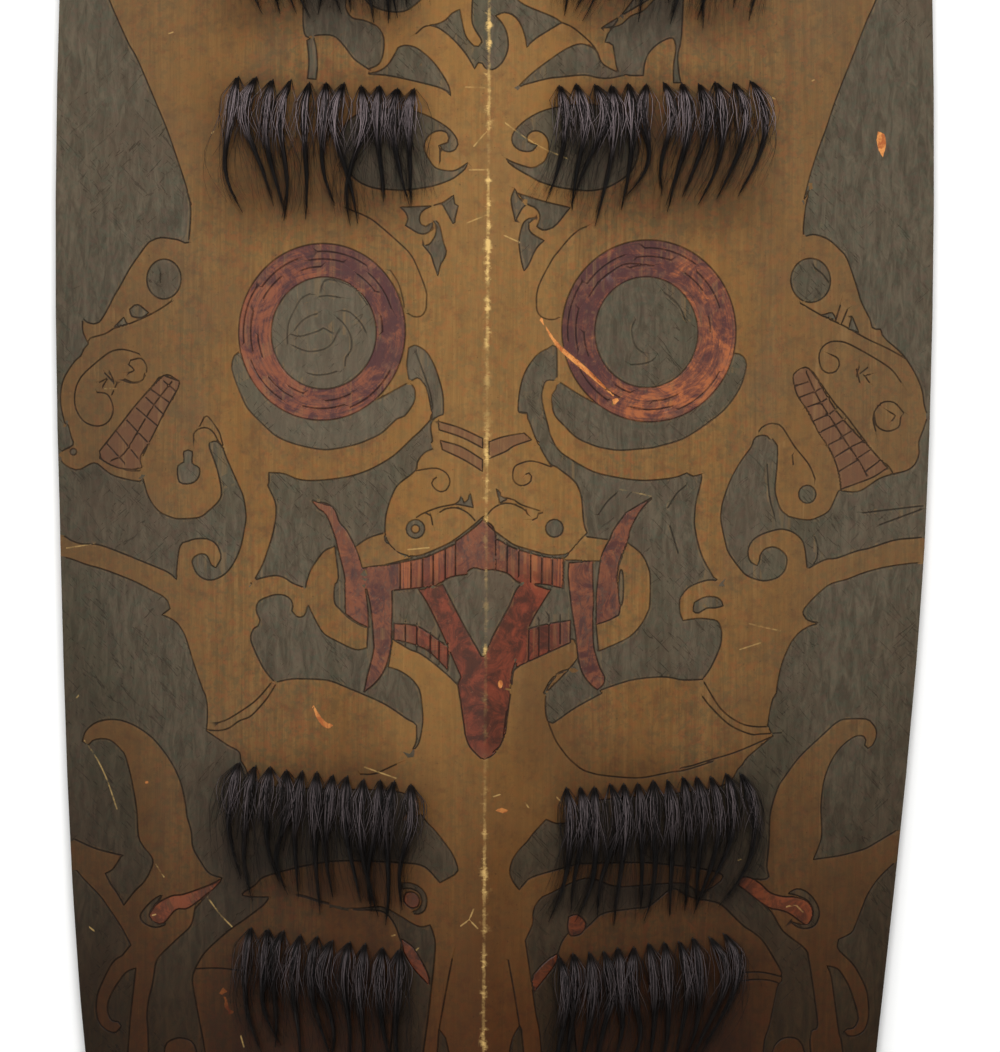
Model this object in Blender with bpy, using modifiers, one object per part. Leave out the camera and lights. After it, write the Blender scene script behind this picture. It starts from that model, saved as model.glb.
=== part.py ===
"""Long wooden shield, lying on its back with its decorated front up.

The board is one plank hewn to a shallow ridge, with pointed ends and a hand grip
carved in one with it at the back. Locks of hair stand in slits in the front, in
four rows on each side of the ridge; the locks of a row lie against each other.
Metres, +Z up. +Y runs to the shield's top, and the origin is the middle of the
underside, on the plane that the long sides rest on.
"""

import math

import bmesh
import bpy
from mathutils import Vector

# Board outline
LENGTH = 1.260
WIDTH = 0.421
WIDEST_Y = 0.109
LOW_SHOULDER_WIDTH = 0.345
END_LENGTH = 0.190
TIP_WIDTH = 0.014

# Board section: the ridge stands a little left of the middle
RIDGE_X = -0.003
RIDGE_HEIGHT = 0.064
RIDGE_THICKNESS = 0.012
RIM_THICKNESS = 0.008
REST_WIDTH = 0.005
ARRIS = 0.0012
SIDE_ROWS = 16
END_ROWS = 3

# Grip, carved from the same plank
GRIP_OPENING_LENGTH = 0.105
GRIP_OPENING_CORNER = 0.012
GRIP_BAR_DEPTH = 0.020
GRIP_WIDTH = 0.026
GRIP_BLOCK_LENGTH = 0.022
GRIP_FOOT_SPREAD = 0.024
GRIP_REST_CLEARANCE = 0.002
GRIP_ROUNDING = 0.005
CORNER_STEPS = 4

# Slits that the locks stand in
SLIT_LENGTH = 0.0050
SLIT_BREADTH = 0.0026
SLIT_DEPTH = 0.0040
SEAT_GAP = 0.0003

# A lock of hair: it rises out of its slit, bends over and hangs towards the foot
LOCK_LENGTH = 0.061
LOCK_THICKNESS = 0.0044
LOCK_RISE = 0.0075
LOCK_BULGE = 0.0050
LOCK_OVERLAP = 1.38
LOCK_SIDES = 5
NECK_HEIGHT = 0.0012

# How far the locks of a row differ from each other
ROOT_DRIFT_ALONG_ROW = 0.0004
ROOT_DRIFT_ACROSS_ROW = 0.0006
LENGTH_DRIFT = 0.03
THICKNESS_DRIFT = 0.08
BULGE_DRIFT = 0.08

# Each bent ring of a lock: share of its length, of its width, of its thickness and of its rise
LOCK_RINGS = (
    (0.06, 0.44, 0.70, 1.00),
    (0.22, 1.00, 1.00, 1.00),
    (0.62, 0.95, 1.00, 0.72),
    (1.00, 0.18, 0.45, 0.34),
)

# Each half row: root nearest the ridge (x, y), outermost root (x, y), number of locks
HAIR_ROWS = {
    "hair_row_crown_left": ((-0.038, 0.2555), (-0.116, 0.2580), 11),
    "hair_row_crown_right": ((0.034, 0.2570), (0.121, 0.2600), 12),
    "hair_row_brow_left": ((-0.038, 0.1610), (-0.122, 0.1675), 11),
    "hair_row_brow_right": ((0.030, 0.1630), (0.121, 0.1665), 12),
    "hair_row_chin_left": ((-0.038, -0.1670), (-0.1195, -0.1590), 12),
    "hair_row_chin_right": ((0.035, -0.1690), (0.118, -0.1620), 13),
    "hair_row_foot_left": ((-0.043, -0.2455), (-0.1135, -0.2365), 10),
    "hair_row_foot_right": ((0.032, -0.2480), (0.1105, -0.2390), 12),
}

WOOD_COLOUR = (0.165, 0.088, 0.030, 1.0)
HAIR_COLOUR = (0.012, 0.009, 0.008, 1.0)

SHOULDER_Y = LENGTH / 2 - END_LENGTH
GOLDEN_SHARE = 0.618034


def narrowing():
    """How fast a half width falls with the square of the distance from the widest place."""
    fall = (WIDTH - LOW_SHOULDER_WIDTH) / 2
    return fall / (SHOULDER_Y + WIDEST_Y) ** 2


def body_half_width(y):
    """Half of the board's width between the shoulders: a parabola about the widest place."""
    return WIDTH / 2 - narrowing() * (y - WIDEST_Y) ** 2


def half_width(y):
    """Half of the board's width anywhere: beyond a shoulder it falls straight to the blunt tip."""
    if abs(y) <= SHOULDER_Y:
        return body_half_width(y)
    shoulder = body_half_width(math.copysign(SHOULDER_Y, y))
    share = (abs(y) - SHOULDER_Y) / END_LENGTH
    return shoulder + share * (TIP_WIDTH / 2 - shoulder)


def slope_width(x, y):
    """Distance from the ridge to where the front's slope ends, on the side of x."""
    inner_y = max(-SHOULDER_Y, min(SHOULDER_Y, y))
    side = 1 if x >= RIDGE_X else -1
    return body_half_width(inner_y) - side * RIDGE_X


def front_height(x, y):
    """Height of the front: straight down from the ridge to the rim on either side."""
    share = abs(x - RIDGE_X) / slope_width(x, y)
    return RIDGE_HEIGHT - share * (RIDGE_HEIGHT - RIM_THICKNESS)


def back_height(x, y):
    """Height of the back: straight down from under the ridge to the flat along the rim."""
    share = abs(x - RIDGE_X) / (slope_width(x, y) - REST_WIDTH)
    return max(0.0, (RIDGE_HEIGHT - RIDGE_THICKNESS) * (1 - share))


def jitter(index, salt):
    """A fixed number from -1 to 1 that changes from lock to lock."""
    return 2 * ((index * GOLDEN_SHARE + salt * GOLDEN_SHARE ** 2) % 1.0) - 1


def clear_scene():
    for obj in list(bpy.data.objects):
        bpy.data.objects.remove(obj, do_unlink=True)


def new_collection(name, hidden=False):
    collection = bpy.data.collections.new(name)
    collection.hide_render = hidden
    bpy.context.scene.collection.children.link(collection)
    return collection


def new_material(name, colour, roughness):
    material = bpy.data.materials.new(name)
    material.use_nodes = True
    shader = material.node_tree.nodes["Principled BSDF"]
    shader.inputs["Base Color"].default_value = colour
    shader.inputs["Roughness"].default_value = roughness
    shader.inputs["Metallic"].default_value = 0.0
    return material


def new_object(name, bm, collection):
    """Turns a bmesh into an object of that collection."""
    bmesh.ops.recalc_face_normals(bm, faces=bm.faces)
    mesh = bpy.data.meshes.new(name)
    bm.to_mesh(mesh)
    bm.free()
    obj = bpy.data.objects.new(name, mesh)
    collection.objects.link(obj)
    return obj


def as_cutter(obj):
    obj.hide_render = True
    obj.display_type = "WIRE"
    return obj


def board_rows():
    """The stations along the board: tip, shoulder, sides, shoulder, tip."""
    ends = [SHOULDER_Y + END_LENGTH * i / END_ROWS for i in range(1, END_ROWS + 1)]
    sides = [SHOULDER_Y * (2 * i / SIDE_ROWS - 1) for i in range(SIDE_ROWS + 1)]
    return [-y for y in reversed(ends)] + sides + ends


def board_columns(y):
    """The x places across the board at a station: rims, insides of the rest flats, and the ridge."""
    half = half_width(y)
    flat = REST_WIDTH * half / body_half_width(max(-SHOULDER_Y, min(SHOULDER_Y, y)))
    return [-half, -half + flat, RIDGE_X, half - flat, half]


def make_board(collection):
    """A grid laid out to the outline and extruded once: one layer bent to the front, one to the back."""
    rows = board_rows()
    columns = len(board_columns(0.0))
    bm = bmesh.new()
    bmesh.ops.create_grid(bm, x_segments=columns - 1, y_segments=len(rows) - 1, size=1)
    front = bm.verts[:]
    for vert in front:
        column = round((vert.co.x + 1) / 2 * (columns - 1))
        y = rows[round((vert.co.y + 1) / 2 * (len(rows) - 1))]
        vert.co = (board_columns(y)[column], y, 0)
    made = bmesh.ops.extrude_face_region(bm, geom=bm.faces[:], use_keep_orig=True)
    back = [item for item in made["geom"] if isinstance(item, bmesh.types.BMVert)]
    for vert in front:
        vert.co.z = front_height(vert.co.x, vert.co.y)
    for vert in back:
        vert.co.z = back_height(vert.co.x, vert.co.y)
    board = new_object("shield_board", bm, collection)
    arris = board.modifiers.new("worn arris", "BEVEL")
    arris.width = ARRIS
    arris.segments = 1
    arris.limit_method = "ANGLE"
    arris.angle_limit = math.radians(50)
    return board


def rounded_corners(corners, radius):
    """A closed outline with each corner turned into an arc of that radius."""
    points = []
    count = len(corners)
    for i, corner in enumerate(corners):
        here = Vector(corner)
        back = (Vector(corners[i - 1]) - here).normalized()
        ahead = (Vector(corners[(i + 1) % count]) - here).normalized()
        half_angle = back.angle(ahead) / 2
        reach = radius / math.tan(half_angle)
        centre = here + (back + ahead).normalized() * radius / math.sin(half_angle)
        first = here + back * reach - centre
        last = here + ahead * reach - centre
        for step in range(CORNER_STEPS + 1):
            outward = first.normalized().slerp(last.normalized(), step / CORNER_STEPS)
            points.append(centre + outward * radius)
    return points


def add_outline(curve, points):
    spline = curve.splines.new("POLY")
    spline.points.add(len(points) - 1)
    for target, point in zip(spline.points, points):
        target.co = (point.x, point.y, 0, 1)
    spline.use_cyclic_u = True


def make_grip(collection):
    """The grip's side view with its finger opening, extruded across the shield and rounded."""
    under_ridge = RIDGE_HEIGHT - RIDGE_THICKNESS
    low = GRIP_REST_CLEARANCE
    top = under_ridge + RIDGE_THICKNESS / 2
    half_bar = GRIP_OPENING_LENGTH / 2 + GRIP_BLOCK_LENGTH
    half_foot = half_bar + GRIP_FOOT_SPREAD
    half_opening = GRIP_OPENING_LENGTH / 2
    opening_low = low + GRIP_BAR_DEPTH
    corner = min(GRIP_OPENING_CORNER, (under_ridge - opening_low) * 0.4)
    outer = [(-half_foot, top), (-half_bar, low), (half_bar, low), (half_foot, top)]
    inner = [
        (-half_opening, under_ridge),
        (half_opening, under_ridge),
        (half_opening, opening_low),
        (-half_opening, opening_low),
    ]
    curve = bpy.data.curves.new("grip outline", "CURVE")
    curve.dimensions = "2D"
    curve.fill_mode = "BOTH"
    curve.extrude = GRIP_WIDTH / 2
    add_outline(curve, [Vector(p) for p in outer])
    add_outline(curve, rounded_corners(inner, corner))
    outline = bpy.data.objects.new("grip outline", curve)
    collection.objects.link(outline)
    # The outline's x runs along the shield, and its y becomes the height
    outline.rotation_euler = (math.pi / 2, 0, math.pi / 2)
    outline.location.x = RIDGE_X
    bpy.context.view_layer.update()
    graph = bpy.context.evaluated_depsgraph_get()
    mesh = bpy.data.meshes.new_from_object(outline.evaluated_get(graph))
    mesh.transform(outline.matrix_world)
    bpy.data.objects.remove(outline)
    bm = bmesh.new()
    bm.from_mesh(mesh)
    bpy.data.meshes.remove(mesh)
    bmesh.ops.remove_doubles(bm, verts=bm.verts, dist=0.00001)
    grip = as_cutter(new_object("grip", bm, collection))
    rounding = grip.modifiers.new("rounding", "BEVEL")
    rounding.width = GRIP_ROUNDING
    rounding.segments = 2
    rounding.limit_method = "ANGLE"
    rounding.angle_limit = math.radians(60)
    return grip


def row_roots(row):
    """Where the locks of a half row stand, as (x, y) places a little uneven along the row."""
    (x_in, y_in), (x_out, y_out), count = row
    roots = []
    for i in range(count):
        share = i / (count - 1)
        x = x_in + share * (x_out - x_in) + ROOT_DRIFT_ALONG_ROW * jitter(i, count)
        y = y_in + share * (y_out - y_in) + ROOT_DRIFT_ACROSS_ROW * jitter(i, 2 * count)
        roots.append((x, y))
    return roots


def make_slits(collection):
    """One box for each slit, standing in the front, all in one cutter."""
    bm = bmesh.new()
    for row in HAIR_ROWS.values():
        for x, y in row_roots(row):
            made = bmesh.ops.create_cube(bm, size=1)
            for vert in made["verts"]:
                side, along, up = vert.co
                px = x + side * SLIT_LENGTH
                py = y + along * SLIT_BREADTH
                depth = -SLIT_DEPTH if up < 0 else SLIT_DEPTH
                vert.co = (px, py, front_height(px, py) + depth)
    return as_cutter(new_object("slits", bm, collection))


def lock_rings(length, half_wide, half_thick):
    """The rings of a lock as (forward, height, half width, half thickness, tilt), root first."""
    seat_wide = SLIT_LENGTH / 2 - SEAT_GAP
    seat_thick = SLIT_BREADTH / 2 - SEAT_GAP
    rings = [
        (0.0, SEAT_GAP - SLIT_DEPTH, seat_wide, seat_thick, 0.0),
        (0.0, NECK_HEIGHT, seat_wide, seat_thick, 0.0),
    ]
    for i, (along, wide, thick, rise) in enumerate(LOCK_RINGS):
        tilt = math.pi / 4 if i == 0 else math.pi / 2
        rings.append((along * length, rise * LOCK_RISE, wide * half_wide, thick * half_thick, tilt))
    return rings


def make_lock(name, root, side, index, half_wide, collection):
    """A flattened tube bent over along the front: it bulges away from the ridge and swings back."""
    length = LOCK_LENGTH * (1 + LENGTH_DRIFT * jitter(index, 1))
    half_thick = LOCK_THICKNESS / 2 * (1 + THICKNESS_DRIFT * jitter(index, 2))
    reach = LOCK_BULGE * (1 + BULGE_DRIFT * jitter(index, 3))
    rings = lock_rings(length, half_wide, half_thick)
    bm = bmesh.new()
    bmesh.ops.create_cone(bm, cap_ends=True, segments=LOCK_SIDES, radius1=1, radius2=1, depth=1)
    long_edges = [e for e in bm.edges if abs(e.verts[0].co.z - e.verts[1].co.z) > 0.5]
    bmesh.ops.subdivide_edges(bm, edges=long_edges, cuts=len(rings) - 2, use_grid_fill=True)
    for vert in bm.verts:
        ring = round((vert.co.z + 0.5) * (len(rings) - 1))
        forward, height, wide, thick, tilt = rings[ring]
        bulge = reach * math.sin(math.pi * forward / length)
        x = root[0] + side * bulge + vert.co.x * wide
        y = root[1] - forward - vert.co.y * thick * math.cos(tilt)
        lift = height - vert.co.y * thick * math.sin(tilt)
        vert.co = (x, y, front_height(x, y) + lift)
    return new_object(name, bm, collection)


def make_hair_row(name, row, collection, cutters):
    """The locks of a half row, joined where they lie against each other."""
    (x_in, _), (x_out, _), count = row
    side = math.copysign(1, x_out)
    half_wide = abs(x_out - x_in) / (count - 1) * LOCK_OVERLAP / 2
    others = bpy.data.collections.new(name + " locks")
    others.hide_render = True
    cutters.children.link(others)
    for index, root in enumerate(row_roots(row)):
        lock_name = name if index == 0 else f"{name} lock {index}"
        home = collection if index == 0 else others
        lock = make_lock(lock_name, root, side, index, half_wide, home)
        if index:
            as_cutter(lock)
        else:
            first = lock
    union = first.modifiers.new("locks", "BOOLEAN")
    union.operation = "UNION"
    union.operand_type = "COLLECTION"
    union.collection = others
    union.solver = "EXACT"
    return first


def finish(obj, material):
    obj.data.materials.append(material)
    obj.data.shade_smooth()
    obj.data.set_sharp_from_angle(angle=math.radians(40))


def main():
    clear_scene()
    shield = new_collection("long_shield")
    cutters = new_collection("cutters", hidden=True)
    wood = new_material("painted wood", WOOD_COLOUR, 0.55)
    hair = new_material("hair", HAIR_COLOUR, 0.40)
    board = make_board(shield)
    grip = make_grip(cutters)
    slits = make_slits(cutters)
    for operation, operand in (("UNION", grip), ("DIFFERENCE", slits)):
        step = board.modifiers.new(operand.name, "BOOLEAN")
        step.operation = operation
        step.object = operand
        step.solver = "EXACT"
    finish(board, wood)
    for name, row in HAIR_ROWS.items():
        finish(make_hair_row(name, row, shield, cutters), hair)


main()
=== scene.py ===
"""The looks of a long carved shield: a ridged board of ochre wood with a painted and incised face and painted
shade towards its lower end, and eight half rows of dark hair locks. Everything is in metres in the CAD frame,
apart from the ornament, which is in millimetres."""

import math

import bmesh
import bpy
import numpy as np
from mathutils.geometry import delaunay_2d_cdt
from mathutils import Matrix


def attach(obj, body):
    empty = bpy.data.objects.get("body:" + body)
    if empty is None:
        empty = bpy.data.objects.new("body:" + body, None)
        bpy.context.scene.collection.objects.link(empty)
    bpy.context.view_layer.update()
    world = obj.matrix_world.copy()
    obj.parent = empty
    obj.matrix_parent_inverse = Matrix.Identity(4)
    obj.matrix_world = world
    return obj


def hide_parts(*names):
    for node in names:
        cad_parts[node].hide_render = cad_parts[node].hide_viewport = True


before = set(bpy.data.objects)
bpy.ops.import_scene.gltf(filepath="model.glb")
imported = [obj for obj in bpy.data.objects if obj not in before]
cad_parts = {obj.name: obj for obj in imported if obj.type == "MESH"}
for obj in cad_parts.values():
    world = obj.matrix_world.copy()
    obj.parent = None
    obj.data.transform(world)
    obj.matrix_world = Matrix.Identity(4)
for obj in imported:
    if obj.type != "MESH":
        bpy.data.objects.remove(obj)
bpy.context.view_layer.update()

# Sizes of the board, as its solid has them
LENGTH = 1.260
WIDTH = 0.421
WIDEST_Y = 0.109
LOW_SHOULDER_WIDTH = 0.345
SHOULDER_Y = 0.440
RIDGE_X = -0.003
RIDGE_HEIGHT = 0.064
RIM_THICKNESS = 0.008
END_HALF_WIDTH = 0.007
SLIT_DEPTH = 0.0040

# How the outline's lower end leans to the left of the even one
LEAN = 0.0045
LEAN_TOP = -0.02
LEAN_LENGTH = 0.28
LEAN_WIDTH = 0.19

# How the solid's front is told from the rest of it, and how finely its rim is cut up
MERGE_DISTANCE = 1e-5
FRONT_SLACK = 2e-4
SLIT_SLACK = 8e-4
SLIT_MARGIN = 0.02
RIM_STEP = 0.003
BACK_DEPTH = 0.0015

# How uneven the new front is, and how far the ridge is worn down
UNEVENNESS = 0.00012
RIDGE_WEAR = 0.00025
RIDGE_STEP = 0.0022
RIDGE_GAP = 0.004

# Sizes of the hair, as its solids have them
LOCK_LENGTH = 0.061
LOCK_RISE = 0.0075
ROOT_DRIFT_ALONG_ROW = 0.0004
ROOT_DRIFT_ACROSS_ROW = 0.0006
GOLDEN_SHARE = 0.618034
HAIR_MIDDLES = (0.222, 0.132, -0.196, -0.278)
HAIR_ROWS = {
    "crown_left": ((-0.038, 0.2555), (-0.116, 0.2580), 11),
    "crown_right": ((0.034, 0.2570), (0.121, 0.2600), 12),
    "brow_left": ((-0.038, 0.1610), (-0.122, 0.1675), 11),
    "brow_right": ((0.030, 0.1630), (0.121, 0.1665), 12),
    "chin_left": ((-0.038, -0.1670), (-0.1195, -0.1590), 12),
    "chin_right": ((0.035, -0.1690), (0.118, -0.1620), 13),
    "foot_left": ((-0.043, -0.2455), (-0.1135, -0.2365), 10),
    "foot_right": ((0.032, -0.2480), (0.1105, -0.2390), 12),
}
STRANDS = 62
STRAND_RINGS = 10
STRAND_RADIUS = 0.00014
CORE_RINGS = 14

# The incised and painted ornament, in millimetres: how finely a curve is sampled, the half width and the
# depth of a cut, how far beside a line its paint is read, and how far from paint and cuts a distance counts
MM = 0.001
LINE_STEP = 1.7
LIP = 0.6
GROOVE_DEPTH = 0.38
BESIDE = 0.45
REACH = 3.0
CELL_ROWS = 10000
KINDS = ("wood", "dark", "red", "bare", "stain")

# The points between the lines, in millimetres: their spacing, and how far they stay off the rim and the lines
FIELD_STEP = 4.6
FIELD_SHIFT = 0.3
LINE_MARGIN = 1.5
FIELD_MARGIN = 2.0
FIELD_GAP = 1.6
LIP_GAP = 0.48
RIDGE_LIP = 1.5
SAME_POINT = 0.02

# The rings round the eyes, in millimetres: the middle of the cut strokes, and their inner and outer radius
EYE_RINGS = (((-81.6, 45.8), 27, 40), ((73.6, 47.1), 27, 41.5))
RING_STROKES = 17

# The cuts between the teeth, in millimetres: where each one is, and its top and bottom
TEETH = (
    (-43.6, -63, -76), (-38.5, -62, -75), (-33.0, -61, -74.5), (-28.0, -59, -73.5), (-22.3, -57, -70.5),
    (-17.5, -54, -69), (1.5, -50, -66), (6.9, -54, -67), (12.4, -56, -69), (18.0, -58, -72), (23.3, -59, -73),
    (28.2, -60, -74), (33.2, -61, -75), (-41.0, -91, -102), (-35.6, -92, -105), (-29.2, -96, -108),
    (-25.0, -98, -111), (-20.8, -101, -114), (17.3, -94, -109), (22.1, -90, -107), (26.8, -88, -104),
    (32.1, -88, -101),
)

# Where the material changes by place, in metres: the middles of the ring streaks, and the height of each part
LEFT_STREAKS = (-0.0812, 0.0455)
RIGHT_STREAKS = (0.0730, 0.0468)
MOUTH_Y = -0.060
TONGUE_Y = -0.110
LIP_Y = -0.120
RIBBON_TOP = -0.150

# The camera, over the photographed part of the board
VIEW_X = 0.0034
VIEW_Y = -0.0456
VIEW_HEIGHT = 3.0
VIEW_LONG_SIDE = 0.4997
VIEW_ROLL = math.radians(0.33)
MEAN_HEIGHT = 0.035

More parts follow.
